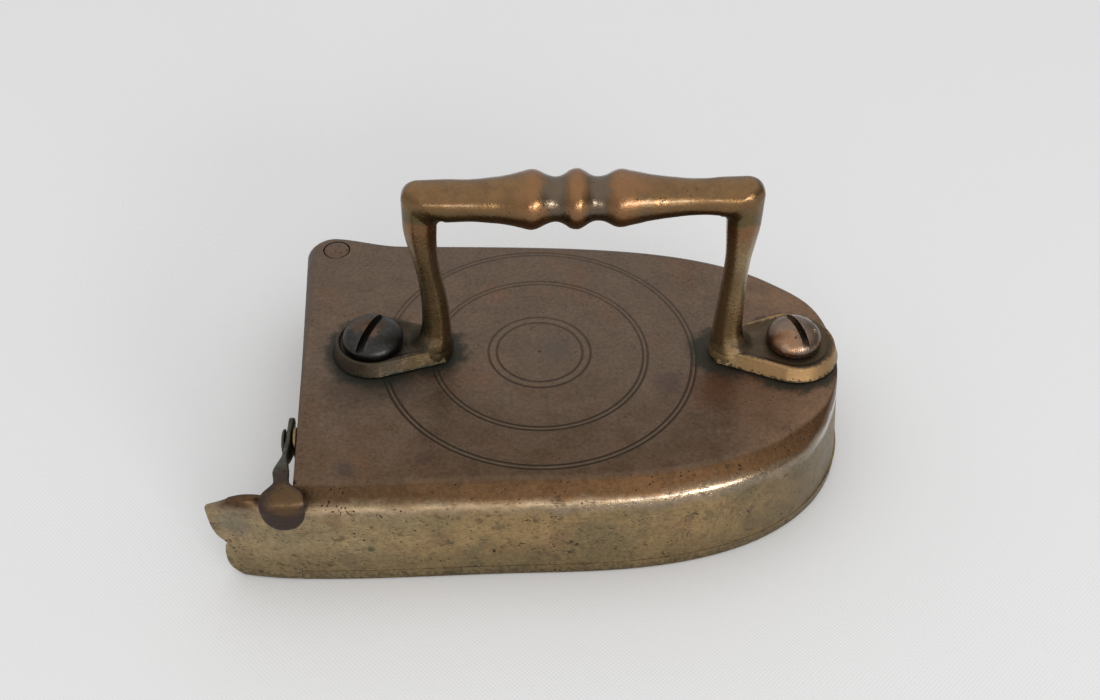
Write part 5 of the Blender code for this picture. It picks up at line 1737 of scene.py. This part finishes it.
@dataclass(frozen=True)
class BodyBrass(Finish):
    """Old brass of the body: grey-brown top with scribed rings, brown bevel and pitted olive wall."""

    top: Colour = (0.132, 0.092, 0.066)
    top_near: Colour = (0.118, 0.075, 0.046)
    top_red: Colour = (0.16, 0.084, 0.048)
    top_nose: Colour = (0.205, 0.12, 0.073)
    blot: Colour = (0.06, 0.046, 0.044)
    bevel: Colour = (0.124, 0.066, 0.031)
    bevel_dark: Colour = (0.09, 0.052, 0.027)
    crease: Colour = (0.225, 0.165, 0.108)
    wall: Colour = (0.34, 0.232, 0.112)
    wall_olive: Colour = (0.222, 0.172, 0.092)
    wall_brown: Colour = (0.235, 0.14, 0.08)
    wall_heel: Colour = (0.4, 0.32, 0.19)
    wall_low: Colour = (0.165, 0.125, 0.065)
    wall_blot: Colour = (0.11, 0.085, 0.05)
    dark: Colour = (0.03, 0.022, 0.015)
    green: Colour = (0.027, 0.03, 0.023)
    ring_middle: Colour = (0.15, 0.128, 0.088)
    rings: Line = ((0.0426, 0.0439), (0.0290, 0.0303), (0.0120, 0.0143))
    ring_line: Pair = (0.00016, 0.0003)
    ring_ridge: Pair = (0.0001, 0.0004)
    feet: tuple[Place, ...] = ((SCREWS[0], 0.0, 0.0112), (SCREWS[1], 0.0, 0.0126),
                               (-0.029, 0.0, 0.0062), (0.051, 0.0, 0.0062))
    stain_reach: float = 0.0042
    relief_size: float = 0.00012
    spots: tuple[Spot, ...] = (
        Spot((0.0355, -0.0122, 0.0320), 0.0038, (0.066, 0.046, 0.048), 0.45, 0.6),
        Spot((-0.0498, -0.0443, 0.0320), 0.0026, (0.048, 0.040, 0.042), 0.50, 0.6),
        Spot((-0.0300, -0.0400, 0.0320), 0.0022, (0.060, 0.044, 0.040), 0.35, 0.6),
        Spot((0.0050, 0.0012, 0.0320), 0.0044, (0.085, 0.074, 0.064), 0.50, 0.7),
        Spot((-0.0510, -0.0150, 0.0320), 0.0085, (0.056, 0.043, 0.033), 0.55, 0.8),
        Spot((-0.0390, -0.0120, 0.0320), 0.0065, (0.038, 0.034, 0.028), 0.65, 0.8),
        Spot((0.0480, -0.0145, 0.0320), 0.0060, (0.110, 0.050, 0.027), 0.60, 0.8),
        Spot((0.0590, -0.0200, 0.0320), 0.0090, (0.130, 0.066, 0.034), 0.45, 0.8),
        Spot((0.0043, -0.0510, 0.0292), 0.0013, (0.020, 0.015, 0.014), 0.95),
        Spot((0.0585, -0.0478, 0.0205), 0.0030, (0.060, 0.054, 0.038), 0.90),
        Spot((-0.0436, -0.0548, 0.0124), 0.0012, (0.070, 0.076, 0.050), 0.70),
        Spot((-0.0500, -0.0548, 0.0080), 0.0032, (0.150, 0.115, 0.072), 0.45, 0.5),
        Spot((-0.0775, -0.0535, 0.0215), 0.0045, (0.150, 0.140, 0.115), 0.60, 0.6))

    def top_colour(self, on: Ground) -> Socket:
        """Colour of the top: browner to the near edge, lighter to the nose, with red and dark blotches.

        Args:
            on: the ground.

        Returns:
            The colour.
        """
        tint, span = on.wiring.tint, on.wiring.span
        colour = tint(span(on.y + on.broad * 0.02, 0.01, -0.05), self.top, self.top_near)
        red = span(on.cloud((3.0, 1.0, 0.0), 60.0), 0.5, 0.75)
        colour = tint(red * 0.55, colour, self.top_red)
        nose = span(on.x + on.broad * 0.012, 0.052, 0.084)
        colour = tint(nose * 0.8, colour, self.top_nose)
        blots = span(on.cloud((7.0, 2.0, 0.0), 95.0, 3.0, 0.5), 0.66, 0.78)
        return tint(blots * 0.42, colour, self.blot)

    def wall_colour(self, on: Ground) -> Socket:
        """Colour of the wall: olive and brown clouds on yellow brass, darker to the sole and the nose.

        Args:
            on: the ground.

        Returns:
            The colour.
        """
        tint, span = on.wiring.tint, on.wiring.span
        clouds = on.cloud((5.0, 0.0, 2.0), 70.0, 5.0, 0.6)
        colour = tint(span(clouds, 0.4, 0.66), self.wall, self.wall_olive)
        heel = span(on.x + clouds * 0.03, 0.01, -0.05)
        colour = tint(heel * 0.5, colour, self.wall_heel)
        brown = span(on.cloud((1.0, 4.0, 9.0), 110.0), 0.5, 0.7)
        colour = tint(brown * 0.6, colour, self.wall_brown)
        lower = span(on.z + clouds * 0.012, 0.022, 0.008)
        nose = span(on.x + clouds * 0.03, 0.055, 0.085)
        colour = tint(on.wiring.most(lower * 0.55, nose * 0.65), colour, self.wall_low)
        blots = span(on.cloud((2.0, 8.0, 3.0), 260.0), 0.57, 0.68)
        colour = tint(blots * 0.62, colour, self.wall_blot)
        low = span(on.z + on.fine * 0.0035, 0.0055, 0.0015)
        return tint(low * 0.45, colour, self.green)

    def ring_masks(self, on: Ground) -> tuple[Value, Value]:
        """Masks of the centre's dot with the scribed lines, and of the ridge between the lines of each pair.

        Args:
            on: the ground.

        Returns:
            The two masks.
        """
        wiring = on.wiring
        away = wiring.reach(on.x, on.y)
        cut = wiring.span(away, 0.0007, 0.0003)
        ridge: Amount = 0.0
        for inner, outer in self.rings:
            for radius in (inner, outer):
                cut = wiring.most(cut, wiring.band(away, radius, *self.ring_line))
            ridge = wiring.most(ridge, wiring.band(away, (inner + outer) * 0.5, *self.ring_ridge))
        return cut, ridge

    def grime(self, on: Ground) -> Amount:
        """Mask of the stains round the handle's feet.

        Args:
            on: the ground.

        Returns:
            The mask.
        """
        grime: Amount = 0.0
        for x, y, size in self.feet:
            away = on.wiring.reach(on.x - x, on.y - y) - size
            stain = on.mask(Effect.STAIN, distance=away, reach=self.stain_reach, scale=230.0)
            grime = on.wiring.most(grime, stain)
        return grime

    def build(self, effects: Effects) -> Material:
        """Wires the zones by height, the rings and the stains by distance, and the pits by size.

        Args:
            effects: the shared effects.

        Returns:
            The material.
        """
        material, wiring, shader = self.start()
        tint, span = wiring.tint, wiring.span
        on = self.ground(wiring, effects, 120.0)
        grain = wiring.noise(on.place, 2600.0, 3.0, 0.6)
        ragged = (on.broad - 0.5) * 0.0016
        level = on.z + ragged
        on_top = span(on.z, 0.0311, 0.0318)
        under_edge, on_bevel = span(level, 0.0228, 0.0262), span(level, 0.0262, 0.0292)
        colour = tint(under_edge * 0.7, self.wall_colour(on), self.crease)
        bevel = tint(span(on.x + ragged * 12.0, 0.02, -0.062), self.bevel, self.bevel_dark)
        colour = tint(on_bevel, colour, bevel)
        colour = tint(on_top, colour, self.top_colour(on))
        shade = span(on.fine, 0.0, 1.0, 0.88, 1.12) * span(on.broad, 0.0, 1.0, 0.92, 1.08)
        shade = shade * span(grain, 0.25, 0.75, 0.92, 1.08)
        colour = tint(1.0, colour, shade, "MULTIPLY")
        colour = self.spotted(on, colour, self.spots)
        off_top, off_bevel = 1.0 - on_top * 0.58, 1.0 - on_bevel * 0.5
        sizes = wiring.noise(on.place, 240.0, 3.0, 0.6)
        pits = on.mask(Effect.PITS, scale=330.0, amount=0.42, size=span(sizes, 0.4, 0.7, 0.08, 0.36))
        specks = on.mask(Effect.PITS, scale=950.0, amount=0.45, size=span(sizes, 0.7, 0.35, 0.14, 0.4))
        dots = wiring.most(pits * off_bevel, specks) * off_top
        colour = tint(dots * 0.82, colour, self.dark)
        nicks = on.mask(Effect.SCRATCHES, scale=1500.0, width=0.05, amount=0.3) * (off_top * off_bevel)
        colour = tint(nicks * 0.55, colour, self.dark)
        cut, ridge = (mask * on_top for mask in self.ring_masks(on))
        near = span(on.y, 0.03, -0.04, 0.45, 0.85)
        colour = tint(ridge * (near * 0.3), colour, self.ring_middle)
        colour = tint(cut * near, colour, self.dark)
        grime = self.grime(on) * on_top
        colour = tint(grime * 0.82, colour, self.green)
        polished = under_edge * (1.0 - on_bevel) * span(on.x, -0.02, 0.03)
        rough = span(on.both, 0.2, 0.8, 0.38, 0.46) - polished * 0.2 + grime * 0.2
        wiring.fill(shader, {"Base Color": colour, "Coat Weight": polished, "Coat Roughness": 0.17,
                             "Roughness": rough + dots * 0.3, "Metallic": 1.0 - grime * 0.15})
        relief = on.fine * 0.14 + grain * 0.1 - dots * 0.7 - cut - nicks * 0.4
        self.relief(wiring, shader, relief, self.relief_size)
        return material


@dataclass(frozen=True)
class WornMetal(Finish):
    """Cast or forged metal: two blotchy tones, spots where a coat has gone, pits, scratches, worn edges."""

    light: Colour = (0.3, 0.19, 0.07)
    deep: Colour = (0.14, 0.09, 0.04)
    pit: Colour = (0.03, 0.02, 0.015)
    worn: Colour = (0.62, 0.45, 0.2)
    scale: float = 150.0
    pit_scale: float = 700.0
    pits: float = 0.4
    edge: float = 0.0006
    edge_share: float = 0.4
    metallic: float = 1.0
    rough: Pair = (0.26, 0.42)
    relief_size: float = 0.0001
    coat: float = 0.0
    spots: tuple[Spot, ...] = ()

    def tones(self, on: Ground) -> Tint:
        """Colour of the metal with its spots, before its pits and worn edges."""
        return self.spotted(on, on.wiring.tint(on.both, self.light, self.deep), self.spots)

    def grime(self, on: Ground) -> Amount:
        """Mask of dirt that dulls the metal: none, unless a finish has its own."""
        return 0.0

    def build(self, effects: Effects) -> Material:
        """Wires the tones, pits and scratches, and wear where the rounded normal leaves the true one.

        Args:
            effects: the shared effects.

        Returns:
            The material.
        """
        material, wiring, shader = self.start()
        on = self.ground(wiring, effects, self.scale)
        colour, grime = self.tones(on), self.grime(on)
        pits = on.mask(Effect.PITS, scale=self.pit_scale, size=0.3, amount=self.pits)
        marks = on.mask(Effect.SCRATCHES, scale=1600.0, width=0.04, amount=0.3)
        colour = wiring.tint(marks * 0.12, colour, self.worn)
        rounded = wiring.add("ShaderNodeBevel", {"Radius": self.edge}, samples=4).outputs[0]
        true = wiring.add("ShaderNodeNewGeometry").outputs["Normal"]
        meet = wiring.add("ShaderNodeVectorMath", {0: rounded, 1: true}, operation="DOT_PRODUCT")
        wear = wiring.span(1.0 - Value(wiring, meet.outputs["Value"]), 0.012, 0.11)
        wear = wear * wiring.span(on.fine, 1.0, 0.1) * (1.0 - grime)
        colour = wiring.tint(wear * self.edge_share, colour, self.worn)
        colour = wiring.tint(pits * 0.8, colour, self.pit)
        rough = wiring.span(on.both, 0.2, 0.8, *self.rough) + grime * 0.2 + pits * 0.3
        wiring.fill(shader, {"Base Color": colour, "Roughness": rough, "Metallic": self.metallic - grime * 0.1,
                             "Coat Weight": self.coat * (1.0 - grime), "Coat Roughness": 0.16})
        self.relief(wiring, shader, on.fine * 0.25 - pits * 0.8, self.relief_size)
        return material


@dataclass(frozen=True)
class HandleBrass(WornMetal):
    """Brass of the handle: rubbed orange on the beads, dark in their grooves, olive posts, grimy dishes,
    painted shade under the bar and on the rear post and foot, painted light on the front foot.
    """

    rubbed: Colour = (0.24, 0.112, 0.045)
    # under: painted shade for the lower half of the bar, in an olive tone
    under: Colour = (0.105, 0.076, 0.028)
    groove: Colour = (0.095, 0.075, 0.054)
    # the post colours: one brass, the front post's copy as lit and the rear post's painted darker as shade
    post: Colour = (0.34, 0.25, 0.13)
    shaded_rear_post: Colour = (0.24, 0.18, 0.095)
    # the foot band colours: one brass, painted lighter on the front foot as lit and near black on the rear foot
    # as shade
    band: Colour = (0.3, 0.18, 0.078)
    shaded_rear_band: Colour = (0.034, 0.021, 0.008)
    crust: Colour = (0.02, 0.024, 0.017)
    dirt: Colour = (0.042, 0.033, 0.023)
    foot_base: float = 0.0323
    foot_top: float = 0.0365
    bar_middle: float = 0.085
    beads_middle: float = 0.011
    ends: tuple[Place, ...] = ((SCREWS[0], POSTS[0], 0.0115), (SCREWS[1], POSTS[1], 0.0129))
    neck: float = 0.006

    def inside(self, on: Ground) -> Value:
        """How far inside a foot's outline a place lies, by the distance to a line whose width tapers.

        Args:
            on: the ground.

        Returns:
            The distance, less than 0 outside.
        """
        wiring = on.wiring
        deepest: Amount = -1.0
        for screw, post, radius in self.ends:
            held = wiring.math("MINIMUM", wiring.most(on.x, min(screw, post)), max(screw, post))
            share = (held - screw) / (post - screw)
            wide = share * (self.neck - radius) + radius
            deepest = wiring.most(deepest, wide - wiring.reach(on.x - held, on.y))
        return deepest

    def tones(self, on: Ground) -> Tint:
        """Brown bar with rubbed beads, dark grooves and painted shade below its axis; olive posts, the rear one
        painted darker as shade; foot bands painted lit at the front and shaded at the rear.

        Args:
            on: the ground.

        Returns:
            The colour.
        """
        tint, span = on.wiring.tint, on.wiring.span
        rise = on.z - self.bar_middle
        cloud = (on.broad - 0.5) * 0.001
        away = on.wiring.reach(rise, on.y) + cloud
        # painted shade: the bar is darkened to olive below its axis
        below = span(rise + cloud * 2.0, 0.001, -0.0036)
        colour = tint(below * 0.85, super().tones(on), self.under)
        colour = tint(span(away, 0.0062, 0.0074) * 0.7, colour, self.rubbed)
        beaded = span(abs(on.x - self.beads_middle), 0.0175, 0.013)
        groove = beaded * span(away, 0.0069, 0.0058)
        colour = tint(groove * 0.8, colour, self.groove)
        # ahead blends from the rear's painted-shade colours to the front's lit colours
        ahead = span(on.x, 0.0, 0.02)
        post = tint(on.both * 0.6, tint(ahead, self.shaded_rear_post, self.post), self.deep)
        colour = tint(span(on.z + on.fine * 0.003, 0.079, 0.07), colour, post)
        on_foot = span(on.z, self.foot_top + 0.003, self.foot_top - 0.0002)
        # foot bands: painted highlight growing towards the front foot's right end, painted shade over the rear
        # foot
        foot_light_and_shade = on.wiring.most(on_foot * span(on.x, 0.052, 0.06, 0.35, 0.9),
                                on_foot * span(ahead, 1.0, 0.0, 0.0, 0.85))
        colour = tint(foot_light_and_shade, colour, tint(ahead, self.shaded_rear_band, self.band))
        # the rear foot darkened with the dirt colour: partly dirt, partly painted shade
        rear = span(on.x, -0.034, -0.04) * on_foot
        colour = tint(rear * 0.75, colour, self.dirt)
        colour = tint(self.crusted(on) * 0.88, colour, self.crust)
        return tint(self.dirty(on) * 0.88, colour, self.dirt)

    def crusted(self, on: Ground) -> Value:
        """Mask of the dark crust along the lower edge of the feet."""
        ragged = (on.fine - 0.5) * -0.0016
        return on.wiring.span(on.z + ragged, self.foot_base + 0.001, self.foot_base + 0.0004)

    def dirty(self, on: Ground) -> Value:
        """Mask inside the rims of the feet, fading up the posts.

        Args:
            on: the ground.

        Returns:
            The mask.
        """
        span = on.wiring.span
        deep = span(self.inside(on) + (on.fine - 0.5) * 0.0006, 0.0012, 0.0022)
        low = span(on.z, self.foot_top + 0.005, self.foot_top + 0.0012)
        over = span(on.z, self.foot_top - 0.0022, self.foot_top - 0.0012)
        return deep * (low * over)

    def grime(self, on: Ground) -> Amount:
        """Dirt in the dishes, crust under the feet's edges and a duller skin on the feet."""
        dull = on.wiring.span(on.z, self.foot_top + 0.003, self.foot_top, 0.0, 0.85)
        return on.wiring.most(on.wiring.most(dull, self.crusted(on)), self.dirty(on))


@dataclass(frozen=True)
class Table(Finish):
    """Pale cloth-like table top with a faint weave."""

    colour: Colour = (0.735, 0.735, 0.735)
    threads: float = 5200.0
    relief_size: float = 0.00003

    def build(self) -> Material:
        """Wires a faint weave of two crossed waves into the relief.

        Returns:
            The material.
        """
        material, wiring, shader = self.start()
        x, y, _ = wiring.parts(wiring.place())
        weave = wiring.math("SINE", x * self.threads) * wiring.math("SINE", y * self.threads)
        wiring.fill(shader, {"Base Color": self.colour, "Roughness": 0.9, "Specular IOR Level": 0.2})
        self.relief(wiring, shader, weave, self.relief_size, 0.5)
        return material


FINISHES: tuple[Finish, ...] = (
    BodyBrass("body_brass"),
    WornMetal("plain_brass", (0.24, 0.16, 0.075), (0.12, 0.085, 0.045)),
    WornMetal("pin_brass", (0.16, 0.10, 0.07), (0.10, 0.065, 0.045), worn=(0.22, 0.14, 0.09)),
    HandleBrass("handle_brass", (0.205, 0.108, 0.038), (0.130, 0.074, 0.031), worn=(0.40, 0.28, 0.14),
                pit_scale=1100.0, pits=0.35, rough=(0.22, 0.34), coat=0.4, edge_share=0.3),
    WornMetal("pink_brass", (0.205, 0.145, 0.108), (0.120, 0.086, 0.066), worn=(0.40, 0.26, 0.17),
              rough=(0.2, 0.36), spots=(
                  Spot((0.0668, -0.0054, 0.0400), 0.0042, (0.34, 0.18, 0.095), 0.65),
                  # small pale spot: painted highlight on the worn copper patch
                  Spot((0.0672, -0.0066, 0.0392), 0.0014, (0.45, 0.30, 0.20), 0.8),
                  Spot((0.0765, -0.0040, 0.0392), 0.0013, (0.13, 0.06, 0.03), 0.8),
                  Spot((0.0720, 0.0000, 0.0400), 0.0030, (0.045, 0.045, 0.034), 0.5))),
    WornMetal("blue_iron", (0.052, 0.050, 0.046), (0.026, 0.026, 0.025), worn=(0.15, 0.10, 0.075),
              rough=(0.28, 0.44), spots=(
                  Spot((-0.0462, -0.0016, 0.0412), 0.0024, (0.140, 0.085, 0.058), 0.60),
                  Spot((-0.0490, 0.0012, 0.0405), 0.0034, (0.120, 0.068, 0.042), 0.60),
                  Spot((-0.0452, 0.0010, 0.0395), 0.0030, (0.060, 0.034, 0.022), 0.7))),
    WornMetal("latch_iron", (0.080, 0.074, 0.050), (0.042, 0.037, 0.026), worn=(0.12, 0.11, 0.085),
              rough=(0.36, 0.52), metallic=0.9, spots=(
                  Spot((-0.0640, -0.0560, 0.0310), 0.0095, (0.050, 0.031, 0.026), 0.9, 0.35),
                  Spot((-0.0630, -0.0558, 0.0338), 0.0045, (0.110, 0.064, 0.029), 0.85, 0.35))),
    WornMetal("slug_iron", (0.075, 0.060, 0.052), (0.035, 0.030, 0.028), worn=(0.12, 0.10, 0.09),
              pits=0.7, rough=(0.6, 0.8), metallic=0.5, relief_size=0.0003))


# Camera, table and light

@dataclass(frozen=True)
class Studio:
    """Camera at the photograph's angle, pale table and soft light."""

    target: Place = (0.002903, 0.000599, 0.032)
    distance: float = 0.3645
    elevation: float = math.radians(43.166)
    azimuth: float = math.radians(1.6)
    roll: float = math.radians(1.311)
    focal: float = 42.545
    sensor: float = 36.0
    table_radius: float = 3.0
    table_thick: float = 0.02
    aim: Place = (0.0, 0.0, 0.03)

    def camera(self) -> None:
        """Sets up the camera from its turn round the target, its height, its roll and its distance."""
        cos_e, sin_e = math.cos(self.elevation), math.sin(self.elevation)
        cos_a, sin_a = math.cos(self.azimuth), math.sin(self.azimuth)
        ahead = Vector((sin_a * cos_e, cos_a * cos_e, -sin_e))
        right = Vector((cos_a, -sin_a, 0.0))
        up = right.cross(ahead)
        cos_r, sin_r = math.cos(self.roll), math.sin(self.roll)
        tilted_right = right * cos_r + up * sin_r
        tilted_up = up * cos_r - right * sin_r
        data = bpy.data.cameras.new("camera")
        data.sensor_fit = "HORIZONTAL"
        data.sensor_width = self.sensor
        data.lens = self.focal
        data.clip_start, data.clip_end = 0.01, 20.0
        camera = Bench.place("camera", data)
        turn = Matrix((tilted_right, tilted_up, -ahead)).transposed()
        camera.matrix_world = Matrix.Translation(Vector(self.target) - ahead * self.distance) @ turn.to_4x4()
        bpy.context.scene.camera = camera

    def table(self) -> None:
        """Lays the table under the sole."""
        top = upright("table", ring_plan((0.0, 0.0), self.table_radius), -self.table_thick, 0.0)
        top.data.materials.append(Table("table").build())

    def lamp(self, name: str, place: Place, wide: float, tall: float, power: float) -> None:
        """Upright soft lamp that faces the iron.

        Args:
            name: name of the lamp.
            place: where it stands.
            wide: its width.
            tall: its height.
            power: its power in watts.
        """
        data = bpy.data.lights.new(name, "AREA")
        data.shape = "RECTANGLE"
        data.size, data.size_y = wide, tall
        data.energy = power
        lamp = Bench.place(name, data)
        ahead = Vector(self.aim) - Vector(place)
        lamp.matrix_world = Matrix.Translation(place) @ ahead.to_track_quat("-Z", "Y").to_matrix().to_4x4()

    def light(self) -> None:
        """Even light from all round, dimmer low on the right, and two low windows in front."""
        world = bpy.data.worlds.new("studio")
        world.use_nodes = True
        wiring = Wiring(world.node_tree)
        background = world.node_tree.nodes["Background"]
        right, _, rise = wiring.parts(wiring.add("ShaderNodeTexCoord").outputs["Generated"])
        sky = wiring.tint(wiring.span(rise, -0.05, 0.85), (0.56, 0.56, 0.57), (1.06, 1.06, 1.06))
        flag = wiring.span(right, 0.35, 0.85) * wiring.span(rise, 0.75, 0.15)
        sky = wiring.tint(flag * 0.75, sky, (0.16, 0.15, 0.14))
        wiring.feed(background.inputs["Color"], sky)
        bpy.context.scene.world = world
        self.lamp("window", (0.57, -1.02, 0.28), 0.6, 0.17, 5.6)
        self.lamp("small_window", (-0.1, -1.18, 0.24), 0.26, 0.13, 1.5)

    def build(self) -> None:
        """Sets up the whole studio."""
        self.camera()
        self.table()
        self.light()
        bpy.context.scene.view_settings.view_transform = "Standard"


def main() -> None:
    """Builds the iron's sub-assemblies in order, then the studio."""
    logging.basicConfig(level=logging.INFO, format="%(name)s: %(message)s")
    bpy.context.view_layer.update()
    effects = Effects()
    body_brass, plain_brass, pin_brass, handle_brass, pink_brass, blue_iron, latch_iron, slug_iron = (
        finish.build(effects) for finish in FINISHES)
    plan = BodyPlan()
    Shell(plan).build(body_brass)
    Sole(plan).build(body_brass)
    gate = Gate(plan)
    latch = Latch(plan)
    gate.build(plain_brass, latch.bore())
    gate.pin(pin_brass)
    latch.lever(latch_iron)
    latch.rivet_and_washer(latch_iron, plain_brass)
    Slug(plan).build(slug_iron)
    Handle().build(handle_brass)
    Screw("handle_screw_rear", SCREWS[0], math.radians(68.0), "dark_iron", slot_width=0.0022,
          slot_depth=0.0034).build(blue_iron)
    Screw("handle_screw_front", SCREWS[1], math.radians(-70.0), "screw_brass", radius=0.0076, seat=0.0364,
          height=0.0066, slot_width=0.002, slot_depth=0.003,
          pits=((0.0052, -0.0015, 0.0009), (0.0030, 0.0048, 0.0006))).build(pink_brass)
    Studio().build()


if __name__ == "__main__":
    main()
